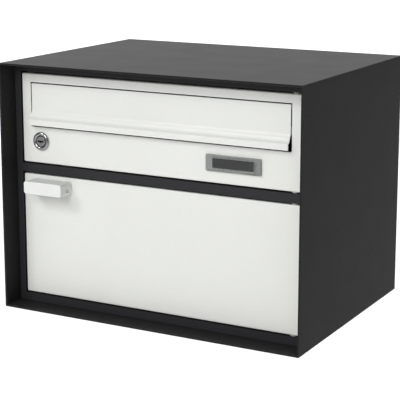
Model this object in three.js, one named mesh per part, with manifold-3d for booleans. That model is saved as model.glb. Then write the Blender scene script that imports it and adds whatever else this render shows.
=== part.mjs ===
// Wall mounted mailbox: a folded outer sleeve round an inner body with a letter compartment above
// a parcel compartment, each behind its own door on vertical pins at the right.
// The letter door carries a slot flap, a cam lock and a name plate, the parcel door a pull handle.
// Millimetres. +Z is up, -Y is the front, and the origin is the centre of the face on the wall.
import * as THREE from 'three';
import { mergeVertices } from 'three/addons/utils/BufferGeometryUtils.js';
import Module from 'manifold-3d';

const wasm = await Module();
wasm.setup();

// ---- Driving dimensions ----
const restGap = 0.3; // left between two pieces that rest on each other
const past = 1; // how far a cut runs past the face that it opens

// Outer sleeve and its rear panel
const shellWidth = 414;
const shellHeight = 315;
const shellDepth = 310;
const shellSheet = 2.5;
const shellCorner = 1.5; // outside radius of the folds
const frontRecess = 30; // from the sleeve's front edge back to the doors
const rearSheet = 1.5;
const wallHoleRadius = 4.25;
const wallHoleSide = 57; // from the sleeve's side to a wall hole
const wallHoleEnd = 47.5; // from the sleeve's top or bottom to a wall hole
const spacerRadius = 8;
const spacerLength = 8;

// Inner body
const carcassSheet = 1.2;
const carcassFit = 0.4; // between the front flanges and the sleeve
const stileInset = 11.3; // from the sleeve's outside to a stile's inner edge
const railInset = 12.8; // from the sleeve's outside to the inner edge of the top or bottom rail
const flangeReturn = 14; // depth of the fold behind a stile or rail
const dividerHeight = 11;

// Doors
const doorGap = 2.2;
const doorDepth = 14;
const doorSheet = 1.5;
const doorReturn = 8; // inward fold at the back of each door
const doorCorner = 2;
const hingeInset = 9.5; // from a door's right edge to the pins' axis
const hingePinRadius = 1.5;
const hingePinFit = 0.4; // round the pin, inside its bush
const hingePinReach = 7; // of a pin past a door's edge
const hingePinHead = 3; // radius of the head or collar that stops a pin
const hingePinHeadHeight = 1.4;
const bushWall = 1.1;
const bushRim = 1.1; // width of the bush's rim round its barrel
const bushClear = 0.5; // between a bush's barrel and the back of its door's sheet
const bushPlay = 0.6; // between a bush's rim and the rail beside it
const bushLength = 8;

// Letter slot and flap
const flapMargin = 14.7; // from the letter door's side edge to the flap's end
const flapHeight = 52;
const flapDrop = 12.5; // from the letter door's top edge to the flap's top
const flapSheet = 1.8;
const flapRound = 1; // of its front edges
const slotGap = 1.6; // at the flap's top and ends
const slotGapBelow = 2.8;
const lowerBand = 48.8; // of the letter door below the flap, for the lock and the name plate
const lipStart = 33; // from the flap's top to where its face leaves the door's plane
const lipStep = 8.5; // height of the first sweep outwards
const lipStepReach = 3.9;
const lipNose = 4; // height of the second sweep
const lipNoseReach = 3.6;
const rodRadius = 1.2;
const rodFit = 0.35; // round the rod, inside the flap's eye
const rodEnd = 0.8; // of the rod past its brackets
const eyeWall = 1.4; // of the flap's eye round that clearance
const rodBehind = 3; // from the flap's face back to the rod's axis
const rodBelow = 3; // from the flap's top down to the rod's axis
const bracketSheet = 1.5;
const bracketOffset = 0.6; // from the slot's end to a bracket
const bracketDepth = 10;
const bracketTab = 9; // width of the stop behind the flap
const bracketTabHeight = 9;
const bracketDrop = 32; // from the rod's axis to the bracket's lower end
const bracketRise = 5; // from the rod's axis to the bracket's upper end

// Cam lock
const lockFromLeft = 28.1; // from the letter door's left edge
const lockAboveEdge = 28.1; // above the letter door's bottom edge
const lockRimLap = 2.7; // of the rim over the lock's hole
const lockRimHeight = 3;
const lockRimEdge = 0.9; // straight height of the rim, under its round
const lockRimRound = 2.6; // width of the rim's round
const lockMouth = 0.8; // bevel where the rim meets the plug
const lockBarrel = 9;
const lockBehindDoor = 4; // of the barrel past the door's back
const lockNutWall = 2.4; // at the middle of a flat
const lockNutHeight = 4;
const plugRadius = 6.6;
const plugFit = 0.35;
const plugRecess = 0.7; // from the rim's face back to the plug's
const plugBevel = 0.6;
const keywayWidth = 2;
const keywayLength = 9;
const keywayDepth = 7;
const camLength = 24; // from the lock's axis to the cam's tip
const camWidth = 14;
const camSheet = 1.8;
const camBevel = 3; // at the corners of its tip
const tailRadius = 3.2;
const tailFit = 0.35;
const camNutWall = 1.65; // at the middle of a flat
const camNutHeight = 3;
const strikeSheet = 1.2;
const strikeHeight = 30;
const strikeReach = 11; // of its leg from the side wall
const strikeFoot = 16; // of its foot along the side wall
const bufferRadius = 3.5;
const bufferRise = 8; // from the lock's axis up to the buffer's

// Name plate
const plateWidth = 72.4;
const plateHeight = 19.7;
const plateFromRight = 50.7; // from the letter door's right edge
const plateAboveEdge = 14.7; // above the letter door's bottom edge
const plateCorner = 0.8; // radius of the base's corners
const plateBase = 1.6; // thickness of the base
const plateCover = 2.6; // height of the clear cover
const plateCoverEdge = 0.6; // straight edge under the cover's slope
const windowWidth = 55;
const windowHeight = 12.6;
const labelSheet = 0.5;
const labelFit = 0.4;
const notchWidth = 4.2;
const notchHeight = 1.7;
const notchSpacing = 9.4;
const notchFloor = 0.8; // of clear plastic behind a notch

// Pull handle
const handleWidth = 56;
const handleHeight = 16.2;
const handleDepth = 24.5;
const handleWall = 2.4;
const handleCorner = 3.5;
const handleFromLeft = 16; // from the parcel door's left edge
const handleFromTop = 4.3; // from the parcel door's top edge
const handleHole = 3.2; // radius of the opening in each cheek
const handleHoleBack = 9; // from the parcel door to that opening's centre
const handleHoleDrop = 1.5; // of that opening's centre below the handle's middle
const bossRadius = 3.4;
const bossLength = 11;
const bossEnd = 1.5; // solid end of a boss
const bossSpacing = 34;
const screwRadius = 1.5;
const screwFit = 0.3;
const screwHead = 3.2;
const screwHeadHeight = 2;
const screwHeadBevel = 0.4;
const screwTipGap = 0.5; // from a screw's tip to the end of its bore
const screwSlot = [4, 0.8, 0.9]; // length, width and depth of the slot in a screw's head

// Magnetic catch
const catchWidth = 13;
const catchHeight = 42;
const catchDepth = 15;
const magnetWidth = 7;
const magnetHeight = 26;
const magnetDepth = 8;
const catchFit = 0.4; // round the magnet, and between its face and the door

// ---- Positions that follow from them ----
const shellRight = shellWidth / 2;
const shellTop = shellHeight / 2;
const faceY = frontRecess - shellDepth;
const innerRight = shellRight - shellSheet;
const innerTop = shellTop - shellSheet;
const flangeRight = innerRight - carcassFit;
const flangeTop = innerTop - carcassFit;
const stileEdge = shellRight - stileInset;
const railEdge = shellTop - railInset;
const doorRight = stileEdge - doorGap;
const letterTop = railEdge - doorGap;
const letterBottom = letterTop - flapDrop - flapHeight - lowerBand;
const dividerTop = letterBottom - doorGap;
const dividerBottom = dividerTop - dividerHeight;
const parcelTop = dividerBottom - doorGap;
const parcelBottom = doorGap - railEdge;
const doorBack = faceY + doorDepth;
const sheetBack = faceY + doorSheet;
const rearRim = rearSheet + spacerLength; // depth of the rear panel's folded rim
const carcassRear = -rearRim - 2 * restGap;
const sideRear = carcassRear - carcassSheet - restGap;
const pinX = doorRight - hingeInset;
const pinHoleRadius = hingePinRadius + restGap;
const bushRadius = hingePinRadius + hingePinFit + bushWall;
const bushRimRadius = bushRadius + bushRim;
const bushRimHeight = doorGap - restGap - bushPlay;
const pinY = sheetBack + bushClear + bushRadius;
const flapTop = letterTop - flapDrop;
const flapRight = doorRight - flapMargin;
const rodY = faceY + rodBehind;
const rodZ = flapTop - rodBelow;
const lockX = lockFromLeft - doorRight;
const lockZ = letterBottom + lockAboveEdge;
const lockRim = lockBarrel + lockRimLap;
const lockBarrelLength = doorDepth + lockBehindDoor;
const lockBore = plugRadius + plugFit;
const plateRight = doorRight - plateFromRight;
const plateX = plateRight - plateWidth / 2;
const plateZ = letterBottom + plateAboveEdge + plateHeight / 2;
const handleLeft = handleFromLeft - doorRight;
const handleTop = parcelTop - handleFromTop;
const handleX = handleLeft + handleWidth / 2;
const handleZ = handleTop - handleHeight / 2;
const bossPlaces = [handleX - bossSpacing / 2, handleX + bossSpacing / 2];

// ---- Finishes ----
const finish = (name, color, roughness, metalness = 0) => {
  const material = new THREE.MeshStandardMaterial({ color, roughness, metalness });
  material.name = name;
  return material;
};
const finishes = {
  anthracite: finish('anthracite_powder_coat', 0x36383b, 0.62),
  innerSheet: finish('inner_powder_coat', 0x2e3033, 0.66),
  white: finish('white_powder_coat', 0xe9ebea, 0.45),
  zinc: finish('zinc_plated_steel', 0xa9acae, 0.4, 0.9),
  chrome: finish('polished_chrome', 0xcfd2d4, 0.15, 1),
  bush: finish('natural_nylon', 0xc9ccc8, 0.5),
  rubber: finish('black_rubber', 0x1b1b1c, 0.9),
  clear: finish('clear_plastic', 0xb9bec2, 0.1),
  label: finish('dark_label_card', 0x3a3c40, 0.7),
  moulded: finish('white_moulded_plastic', 0xe6e8e6, 0.4),
  magnet: finish('ferrite_magnet', 0x3c3b3a, 0.6, 0.3),
};

// ---- Solids ----
const turnSteps = 32; // flats round a turned piece
const smallTurnSteps = 16; // flats round a pin, a bore or a screw
const roundSteps = 3; // flats in a rounded edge
const lipSectionStep = 0.8; // between two points of the lip's curve
const slopeStep = 0.01; // either side of a point, to measure a curve's slope there

// A closed geometry as a manifold solid with its faces pointing out.
function solidOf(geometry) {
  const bare = geometry.clone();
  bare.deleteAttribute('normal');
  bare.deleteAttribute('uv');
  const merged = mergeVertices(bare, 1e-4);
  const position = merged.getAttribute('position');
  const corner = (i) => new THREE.Vector3().fromBufferAttribute(position, i);
  const kept = [];
  let volume = 0;
  for (let i = 0; i < merged.index.count; i += 3) {
    const [a, b, c] = [0, 1, 2].map((k) => merged.index.getX(i + k));
    if (a === b || b === c || c === a) continue;
    kept.push([a, b, c]);
    volume += corner(a).dot(corner(b).cross(corner(c)));
  }
  const facing = volume > 0 ? kept : kept.map(([a, b, c]) => [a, c, b]);
  return new wasm.Manifold(new wasm.Mesh({
    numProp: 3,
    vertProperties: new Float32Array(position.array),
    triVerts: new Uint32Array(facing.flat()),
  }));
}

// A box between two values along each axis, given in either order.
function block([x0, x1], [y0, y1], [z0, z1]) {
  const box = new THREE.BoxGeometry(Math.abs(x1 - x0), Math.abs(y1 - y0), Math.abs(z1 - z0));
  return solidOf(box.translate((x0 + x1) / 2, (y0 + y1) / 2, (z0 + z1) / 2));
}

function outlineOf(points) {
  return new THREE.Shape(points.map(([a, b]) => new THREE.Vector2(a, b)));
}

// An outline, extruded at right angles to its own plane.
function extrude(shape, length, steps) {
  return new THREE.ExtrudeGeometry(shape, { depth: length, bevelEnabled: false, curveSegments: steps });
}

// Outline in (y, z), extruded along X.
function alongX(shape, [x0, x1], steps = 6) {
  const turn = new THREE.Matrix4().makeBasis(
    new THREE.Vector3(0, 1, 0),
    new THREE.Vector3(0, 0, 1),
    new THREE.Vector3(1, 0, 0),
  );
  return solidOf(extrude(shape, x1 - x0, steps).applyMatrix4(turn).translate(x0, 0, 0));
}

// Outline in (x, z), extruded along Y from the front to the back.
function alongY(shape, [front, back], steps = 6) {
  const turn = new THREE.Matrix4().makeBasis(
    new THREE.Vector3(1, 0, 0),
    new THREE.Vector3(0, 0, 1),
    new THREE.Vector3(0, -1, 0),
  );
  return solidOf(extrude(shape, back - front, steps).applyMatrix4(turn).translate(0, back, 0));
}

// Outline in (x, y), extruded along Z.
function alongZ(shape, [z0, z1], steps = 6) {
  return solidOf(extrude(shape, z1 - z0, steps).translate(0, 0, z0));
}

// A profile of [radius, distance along the axis], turned about an axis through a point.
function turned(profile, axis, [x, y, z], steps = turnSteps) {
  const points = profile.map(([radius, along]) => new THREE.Vector2(radius, along));
  const geometry = new THREE.LatheGeometry(points, steps);
  if (axis === 'x') geometry.rotateZ(-Math.PI / 2);
  if (axis === 'z') geometry.rotateX(Math.PI / 2);
  return solidOf(geometry.translate(x, y, z));
}

function cylinder(radius, [from, to], axis, place, steps = turnSteps) {
  return turned([[0, from], [radius, from], [radius, to], [0, to]], axis, place, steps);
}

function ring(outer, inner, [from, to], axis, place, steps = turnSteps) {
  const profile = [[inner, from], [outer, from], [outer, to], [inner, to], [inner, from]];
  return turned(profile, axis, place, steps);
}

// A six-sided nut along Y, with its wall's thickness at the middle of a flat.
function hexNut(bore, wall, [from, to], place) {
  const corners = (bore + wall) / Math.cos(Math.PI / 6);
  const hole = cylinder(bore, [from - past, to + past], 'y', place);
  return cylinder(corners, [from, to], 'y', place, 6).subtract(hole);
}

// A rectangle with rounded corners, as an outline.
function roundedRectangle([x0, x1], [z0, z1], radius) {
  const shape = new THREE.Shape();
  shape.moveTo(x0 + radius, z0);
  shape.lineTo(x1 - radius, z0);
  shape.absarc(x1 - radius, z0 + radius, radius, -Math.PI / 2, 0, false);
  shape.lineTo(x1, z1 - radius);
  shape.absarc(x1 - radius, z1 - radius, radius, 0, Math.PI / 2, false);
  shape.lineTo(x0 + radius, z1);
  shape.absarc(x0 + radius, z1 - radius, radius, Math.PI / 2, Math.PI, false);
  shape.lineTo(x0, z0 + radius);
  shape.absarc(x0 + radius, z0 + radius, radius, Math.PI, 1.5 * Math.PI, false);
  return shape;
}

// Runs fn for each flat's end round a quarter turn, with the sine and cosine there.
function quarterTurn(fn) {
  return Array.from({ length: roundSteps + 1 }, (_, i) => {
    const angle = (i / roundSteps) * Math.PI / 2;
    return fn(Math.sin(angle), Math.cos(angle));
  });
}

// ---- Parts ----
const mailbox = new THREE.Group();
const letterDoor = new THREE.Group();
const slotFlap = new THREE.Group();
const lockRotor = new THREE.Group();
const coverGroup = new THREE.Group();
const parcelDoor = new THREE.Group();
mailbox.add(letterDoor, parcelDoor);
letterDoor.add(slotFlap, lockRotor, coverGroup);

function part(group, name, solid, material) {
  const { numProp, numVert, vertProperties, triVerts } = solid.getMesh();
  const positions = new Float32Array(numVert * 3);
  for (let i = 0; i < numVert; i += 1) {
    positions.set(vertProperties.subarray(i * numProp, i * numProp + 3), i * 3);
  }
  const geometry = new THREE.BufferGeometry();
  geometry.setAttribute('position', new THREE.BufferAttribute(positions, 3));
  geometry.setIndex(new THREE.BufferAttribute(triVerts, 1));
  geometry.computeVertexNormals();
  const mesh = new THREE.Mesh(geometry, material);
  mesh.name = name;
  group.add(mesh);
}

// Outer sleeve: one sheet folded round the four sides, open at the front and the back.
function outerShell() {
  const outline = roundedRectangle([-shellRight, shellRight], [-shellTop, shellTop], shellCorner);
  const hollow = block([-innerRight, innerRight], [-shellDepth - past, past], [-innerTop, innerTop]);
  return alongY(outline, [-shellDepth, 0]).subtract(hollow);
}

const wallHoles = [];
for (const [side, x] of [['left', wallHoleSide - shellRight], ['right', shellRight - wallHoleSide]]) {
  for (const [end, z] of [['top', shellTop - wallHoleEnd], ['bottom', wallHoleEnd - shellTop]]) {
    wallHoles.push({ name: `${side}_${end}`, x, z });
  }
}

function withWallHoles(solid) {
  const drill = ({ x, z }) => cylinder(wallHoleRadius, [-shellDepth, past], 'y', [x, 0, z], smallTurnSteps);
  return wallHoles.reduce((sheet, hole) => sheet.subtract(drill(hole)), solid);
}

// Rear panel: a shallow tray inside the sleeve's back, with its rim towards the front.
function rearPanel() {
  const [right, top] = [innerRight - restGap, innerTop - restGap];
  const tray = block([-right, right], [-rearRim, 0], [-top, top]);
  const [holeRight, holeTop] = [right - rearSheet, top - rearSheet];
  const hollow = block([-holeRight, holeRight], [-rearRim - past, -rearSheet], [-holeTop, holeTop]);
  return withWallHoles(tray.subtract(hollow));
}

// Inner body's rear sheet, held off the rear panel by a spacer at each wall hole.
function carcassBack() {
  const [right, top] = [stileEdge + carcassSheet, flangeTop];
  return withWallHoles(block([-right, right], [carcassRear - carcassSheet, carcassRear], [-top, top]));
}

// Side sheet: its front edge is folded outwards as the stile, and back again along the sleeve.
function carcassSide(side) {
  const [inner, outer] = [stileEdge, flangeRight];
  const wall = block([inner, inner + carcassSheet], [faceY, sideRear], [-flangeTop, flangeTop]);
  const stile = block([inner, outer], [faceY, faceY + carcassSheet], [-flangeTop, flangeTop]);
  const fold = block([outer - carcassSheet, outer], [faceY, faceY + flangeReturn], [-flangeTop, flangeTop]);
  const sheet = wall.add(stile).add(fold);
  return side === 'right' ? sheet : sheet.mirror([1, 0, 0]);
}

const sheetSpan = [restGap - stileEdge, stileEdge - restGap];
const pinHole = (span) => cylinder(pinHoleRadius, span, 'z', [pinX, pinY, 0], smallTurnSteps);

// Top sheet, with the top rail folded up at its front; the floor is the same sheet turned over.
function carcassTop() {
  const wall = block(sheetSpan, [faceY, sideRear], [railEdge, railEdge + carcassSheet]);
  const rail = block(sheetSpan, [faceY, faceY + carcassSheet], [railEdge, flangeTop]);
  const fold = block(sheetSpan, [faceY, faceY + flangeReturn], [flangeTop - carcassSheet, flangeTop]);
  return wall.add(rail).add(fold).subtract(pinHole([railEdge - past, railEdge + carcassSheet + past]));
}

// Divider: one sheet folded round the front, the letter compartment's floor over the parcel roof.
function divider() {
  const whole = block(sheetSpan, [faceY, sideRear], [dividerBottom, dividerTop]);
  const inside = [dividerBottom + carcassSheet, dividerTop - carcassSheet];
  const hollow = block([-stileEdge, stileEdge], [faceY + carcassSheet, 0], inside);
  return whole.subtract(hollow).subtract(pinHole([dividerBottom - past, dividerTop + past]));
}

// Hinge pin at the top, pushed down through the top sheet; the bottom pin is its mirror image.
function endPin() {
  const seat = railEdge + carcassSheet + restGap;
  const tip = letterTop - hingePinReach;
  const top = seat + hingePinHeadHeight;
  const profile = [[0, tip], [hingePinRadius, tip], [hingePinRadius, seat], [hingePinHead, seat],
    [hingePinHead, top], [0, top]];
  return turned(profile, 'z', [pinX, pinY, 0], smallTurnSteps);
}

// Middle pin, through the divider into both doors, with a collar between the divider's sheets.
function middlePin() {
  const [low, high] = [parcelTop - hingePinReach, letterBottom + hingePinReach];
  const collar = [dividerBottom + carcassSheet + restGap, dividerTop - carcassSheet - restGap];
  const profile = [[0, low], [hingePinRadius, low], [hingePinRadius, collar[0]],
    [hingePinHead, collar[0]], [hingePinHead, collar[1]], [hingePinRadius, collar[1]],
    [hingePinRadius, high], [0, high]];
  return turned(profile, 'z', [pinX, pinY, 0], smallTurnSteps);
}

// Hinge bush in a door's edge: a barrel through the edge and a rim outside it. upward is 1 at a
// door's top edge and -1 at its bottom edge.
function hingeBush(edge, upward) {
  const bore = hingePinRadius + hingePinFit;
  const at = (rise) => edge + upward * rise;
  const profile = [[bore, at(-bushLength)], [bushRadius, at(-bushLength)], [bushRadius, at(restGap)],
    [bushRimRadius, at(restGap)], [bushRimRadius, at(restGap + bushRimHeight)],
    [bore, at(restGap + bushRimHeight)], [bore, at(-bushLength)]];
  return turned(profile, 'z', [pinX, pinY, 0], smallTurnSteps);
}

// Door: a tray with its rim towards the back and a narrow return round the mouth.
function doorTray(bottom, top) {
  const outline = roundedRectangle([-doorRight, doorRight], [bottom, top], doorCorner);
  const [right, low, high] = [doorRight - doorSheet, bottom + doorSheet, top - doorSheet];
  const pocket = block([-right, right], [sheetBack, doorBack - doorSheet], [low, high]);
  const mouthRight = doorRight - doorReturn;
  const mouth = block(
    [-mouthRight, mouthRight], [sheetBack, doorBack + past], [bottom + doorReturn, top - doorReturn],
  );
  const bushHole = (edge) => cylinder(
    bushRadius + restGap, [edge - 2 * doorSheet, edge + 2 * doorSheet], 'z', [pinX, pinY, 0], smallTurnSteps,
  );
  return alongY(outline, [faceY, doorBack]).subtract(pocket).subtract(mouth)
    .subtract(bushHole(bottom)).subtract(bushHole(top));
}

const throughSheet = [faceY - past, sheetBack + past];

function letterDoorPanel() {
  const slotRight = flapRight + slotGap;
  const slotBottom = flapTop - flapHeight - slotGapBelow;
  const slot = block([-slotRight, slotRight], throughSheet, [slotBottom, flapTop + slotGap]);
  const lockHole = cylinder(lockBarrel + restGap, throughSheet, 'y', [lockX, 0, lockZ]);
  return doorTray(letterBottom, letterTop).subtract(slot).subtract(lockHole);
}

const alongScrew = (radius, span, x) => cylinder(radius, span, 'y', [x, 0, handleZ], smallTurnSteps);

function parcelDoorPanel() {
  const screwHole = (x) => alongScrew(screwRadius + screwFit, throughSheet, x);
  return bossPlaces.reduce((door, x) => door.subtract(screwHole(x)), doorTray(parcelBottom, parcelTop));
}

// How far the flap's face stands out of the door's plane, at a distance below its top.
function flapReach(drop) {
  const sweep = (start, height, reach) => {
    const t = THREE.MathUtils.clamp((drop - start) / height, 0, 1);
    return reach * t * t * (3 - 2 * t);
  };
  return sweep(lipStart, lipStep, lipStepReach) + sweep(lipStart + lipStep, lipNose, lipNoseReach);
}

// The flap's section: a flat plate that sweeps out into a lip, with an eye for the rod at its top.
function flapBody() {
  const flapBottom = flapTop - flapHeight;
  const nose = faceY - flapReach(flapHeight);
  const front = quarterTurn((sin, cos) => [faceY + flapRound * (1 - sin), flapTop - flapRound * (1 - cos)]);
  const back = [[faceY + flapSheet, flapTop]];
  const lipEnd = flapHeight - flapRound;
  const steps = Math.ceil((lipEnd - lipStart) / lipSectionStep);
  for (let i = 0; i <= steps; i += 1) {
    const drop = THREE.MathUtils.lerp(lipStart, lipEnd, i / steps);
    const slope = (flapReach(drop + slopeStep) - flapReach(drop - slopeStep)) / (2 * slopeStep);
    const inward = flapSheet / Math.hypot(1, slope);
    front.push([faceY - flapReach(drop), flapTop - drop]);
    back.push([faceY - flapReach(drop) + inward, flapTop - drop - inward * slope]);
  }
  const edge = quarterTurn((sin, cos) => [nose + flapRound * (1 - cos), flapBottom + flapRound * (1 - sin)]);
  front.push(...edge.slice(1));
  back.push([nose + flapSheet, flapBottom]);
  const section = outlineOf([...front, ...back.reverse()]);
  const span = [-flapRight, flapRight];
  const bore = [-flapRight - past, flapRight + past];
  return alongX(section, span)
    .add(cylinder(rodRadius + rodFit + eyeWall, span, 'x', [0, rodY, rodZ], smallTurnSteps))
    .subtract(cylinder(rodRadius + rodFit, bore, 'x', [0, rodY, rodZ], smallTurnSteps));
}

const bracketInner = flapRight + slotGap + bracketOffset;

// Bracket beside the slot: it carries the rod's end, and its tab stops the flap from behind.
function flapBracket(side) {
  const [front, tabFront] = [sheetBack + restGap, faceY + flapSheet + restGap];
  const foot = rodZ - bracketDrop;
  const outer = bracketInner + bracketSheet;
  const plate = block([bracketInner, outer], [front, front + bracketDepth], [foot, rodZ + bracketRise]);
  const tabSpan = [tabFront, tabFront + bracketSheet];
  const tab = block([outer - bracketTab, outer], tabSpan, [foot, foot + bracketTabHeight]);
  const reach = [bracketInner - past, outer + past];
  const hole = cylinder(rodRadius + restGap, reach, 'x', [0, rodY, rodZ], smallTurnSteps);
  const sheet = plate.add(tab).subtract(hole);
  return side === 'right' ? sheet : sheet.mirror([1, 0, 0]);
}

function flapRod() {
  const end = bracketInner + bracketSheet + rodEnd;
  return cylinder(rodRadius, [-end, end], 'x', [0, rodY, rodZ], smallTurnSteps);
}

// Lock, along Y with the key side at the front. Distances in its profiles run back from the door's face.
const lockPlace = [lockX, faceY, lockZ];

function lockHousing() {
  const rear = lockBarrelLength;
  const face = -restGap - lockRimHeight;
  const edge = -restGap - lockRimEdge;
  const round = quarterTurn((sin, cos) => [lockRim - lockRimRound * (1 - cos), edge + (face - edge) * sin]);
  const profile = [
    [lockBore, rear], [lockBarrel, rear], [lockBarrel, -restGap], [lockRim, -restGap],
    ...round, [lockBore + lockMouth, face], [lockBore, face + lockMouth], [lockBore, rear],
  ];
  return turned(profile, 'y', lockPlace);
}

function lockNut() {
  const front = doorSheet + restGap;
  return hexNut(lockBarrel + restGap, lockNutWall, [front, front + lockNutHeight], lockPlace);
}

const camFront = lockBarrelLength + 2 * restGap;
const tailStart = lockBarrelLength + restGap;

function lockPlug() {
  const end = camFront + camSheet + camNutHeight + 2 * restGap;
  const face = plugRecess - restGap - lockRimHeight;
  const profile = [[0, face], [plugRadius - plugBevel, face], [plugRadius, face + plugBevel],
    [plugRadius, tailStart], [tailRadius, tailStart], [tailRadius, end], [0, end]];
  const keyway = block(
    [lockX - keywayLength / 2, lockX + keywayLength / 2],
    [faceY + face - past, faceY + keywayDepth],
    [lockZ - keywayWidth / 2, lockZ + keywayWidth / 2],
  );
  return turned(profile, 'y', lockPlace).subtract(keyway);
}

// The cam hangs down when the door is unlocked.
function lockCam() {
  const front = faceY + camFront + restGap;
  const half = camWidth / 2;
  const tip = lockZ - camLength;
  const outline = new THREE.Shape();
  outline.absarc(lockX, lockZ, half, 0, Math.PI, false);
  outline.lineTo(lockX - half, tip + camBevel);
  outline.lineTo(lockX - half + camBevel, tip);
  outline.lineTo(lockX + half - camBevel, tip);
  outline.lineTo(lockX + half, tip + camBevel);
  const hole = cylinder(tailRadius + tailFit, [0, camFront + 2 * camSheet], 'y', lockPlace, smallTurnSteps);
  return alongY(outline, [front, front + camSheet], smallTurnSteps).subtract(hole);
}

function camNut() {
  const front = camFront + camSheet + 2 * restGap;
  return hexNut(tailRadius + tailFit, camNutWall, [front, front + camNutHeight], lockPlace);
}

// Strike on the left side wall: the cam turns behind its leg.
const strikeFront = faceY + camFront - restGap - strikeSheet;

function lockStrike() {
  const wall = restGap - stileEdge;
  const height = [lockZ - strikeHeight / 2, lockZ + strikeHeight / 2];
  const leg = block([wall, wall + strikeReach], [strikeFront, strikeFront + strikeSheet], height);
  const foot = block([wall, wall + strikeSheet], [strikeFront, strikeFront + strikeFoot], height);
  return leg.add(foot);
}

// Rubber buffer on the strike's leg, behind the middle of the letter door's return.
function doorBuffer() {
  const place = [doorReturn / 2 - doorRight, 0, lockZ + bufferRise];
  return cylinder(bufferRadius, [doorBack + restGap, strikeFront - restGap], 'y', place, smallTurnSteps);
}

const plateSpanX = [plateX - plateWidth / 2, plateX + plateWidth / 2];
const plateSpanZ = [plateZ - plateHeight / 2, plateZ + plateHeight / 2];
const plateFront = faceY - restGap - plateBase;

// Name plate base, with a pocket for the label.
function plateTray() {
  const outline = roundedRectangle(plateSpanX, plateSpanZ, plateCorner);
  const pocket = block(
    [plateX - windowWidth / 2, plateX + windowWidth / 2],
    [plateFront - past, plateFront + labelSheet + restGap],
    [plateZ - windowHeight / 2, plateZ + windowHeight / 2],
  );
  return alongY(outline, [plateFront, plateFront + plateBase], roundSteps).subtract(pocket);
}

function plateLabel() {
  const [halfWidth, halfHeight] = [windowWidth / 2 - labelFit, windowHeight / 2 - labelFit];
  return block(
    [plateX - halfWidth, plateX + halfWidth], [plateFront, plateFront + labelSheet],
    [plateZ - halfHeight, plateZ + halfHeight],
  );
}

// Clear cover: flat over the label, chamfered down to the base, with pry notches along its bottom.
function plateClearCover() {
  const back = plateFront - restGap;
  const front = back - plateCover;
  const slope = (run, halfBack, halfFront, middle) => outlineOf([
    [run[0], middle - halfBack], [run[1], middle - halfBack], [run[2], middle - halfFront],
    [run[2], middle + halfFront], [run[1], middle + halfBack], [run[0], middle + halfBack],
  ]);
  const run = [back, back - plateCoverEdge, front];
  const sideways = slope(run, plateWidth / 2, windowWidth / 2, plateX).getPoints().map(({ x, y }) => [y, x]);
  const upright = slope(run, plateHeight / 2, windowHeight / 2, plateZ);
  const notch = (x) => block(
    [x - notchWidth / 2, x + notchWidth / 2], [front - past, back - notchFloor],
    [plateZ - windowHeight / 2 - notchHeight, plateZ - windowHeight / 2],
  );
  const body = alongX(upright, plateSpanX).intersect(alongZ(outlineOf(sideways), plateSpanZ));
  return [-1, 0, 1].reduce((cover, i) => cover.subtract(notch(plateX + i * notchSpacing)), body);
}

// Pull handle: a hood with a front plate, a top plate, two cheeks and a foot, open underneath.
function doorHandle() {
  const span = [handleLeft, handleLeft + handleWidth];
  const rise = [handleTop - handleHeight, handleTop];
  const depth = [faceY - handleDepth, faceY - restGap];
  const inside = ([low, high]) => [low + handleWall, high - handleWall];
  const hood = alongY(roundedRectangle(span, rise, handleCorner), depth)
    .subtract(block(inside(span), inside(depth), [rise[0] - past, rise[1] - handleWall]));
  const holePlace = [0, faceY - handleHoleBack, handleZ - handleHoleDrop];
  const cheekHoles = cylinder(handleHole, [span[0] - past, span[1] + past], 'x', holePlace, smallTurnSteps);
  const bossFront = depth[1] - bossLength;
  const boss = (x) => alongScrew(bossRadius, [bossFront, depth[1]], x);
  const bore = (x) => alongScrew(screwRadius + screwFit, [bossFront + bossEnd, depth[1] + past], x);
  return bossPlaces.reduce((solid, x) => solid.add(boss(x)).subtract(bore(x)), hood.subtract(cheekHoles));
}

// Screw from inside the door into one of the handle's bosses.
function handleScrew(x) {
  const head = doorSheet + restGap;
  const top = head + screwHeadHeight;
  const tip = -restGap - bossLength + bossEnd + screwTipGap;
  const profile = [[0, tip], [screwRadius, tip], [screwRadius, head], [screwHead, head],
    [screwHead, top - screwHeadBevel], [screwHead - screwHeadBevel, top], [0, top]];
  const [length, width, depth] = screwSlot;
  const slot = block(
    [x - length / 2, x + length / 2], [faceY + top - depth, faceY + top + past],
    [handleZ - width / 2, handleZ + width / 2],
  );
  return turned(profile, 'y', [x, faceY, handleZ], smallTurnSteps).subtract(slot);
}

// Magnetic catch on the left side wall, level with the middle of the parcel door.
const catchZ = (parcelTop + parcelBottom) / 2;
const catchLeft = restGap - stileEdge;
const catchFront = doorBack + catchFit;

function catchHousing() {
  const body = block(
    [catchLeft, catchLeft + catchWidth], [catchFront, catchFront + catchDepth],
    [catchZ - catchHeight / 2, catchZ + catchHeight / 2],
  );
  const middle = catchLeft + catchWidth / 2;
  const pocket = block(
    [middle - magnetWidth / 2 - catchFit, middle + magnetWidth / 2 + catchFit],
    [catchFront - past, catchFront + magnetDepth + catchFit],
    [catchZ - magnetHeight / 2 - catchFit, catchZ + magnetHeight / 2 + catchFit],
  );
  return body.subtract(pocket);
}

function catchMagnet() {
  const middle = catchLeft + catchWidth / 2;
  return block(
    [middle - magnetWidth / 2, middle + magnetWidth / 2], [catchFront, catchFront + magnetDepth],
    [catchZ - magnetHeight / 2, catchZ + magnetHeight / 2],
  );
}

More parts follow.
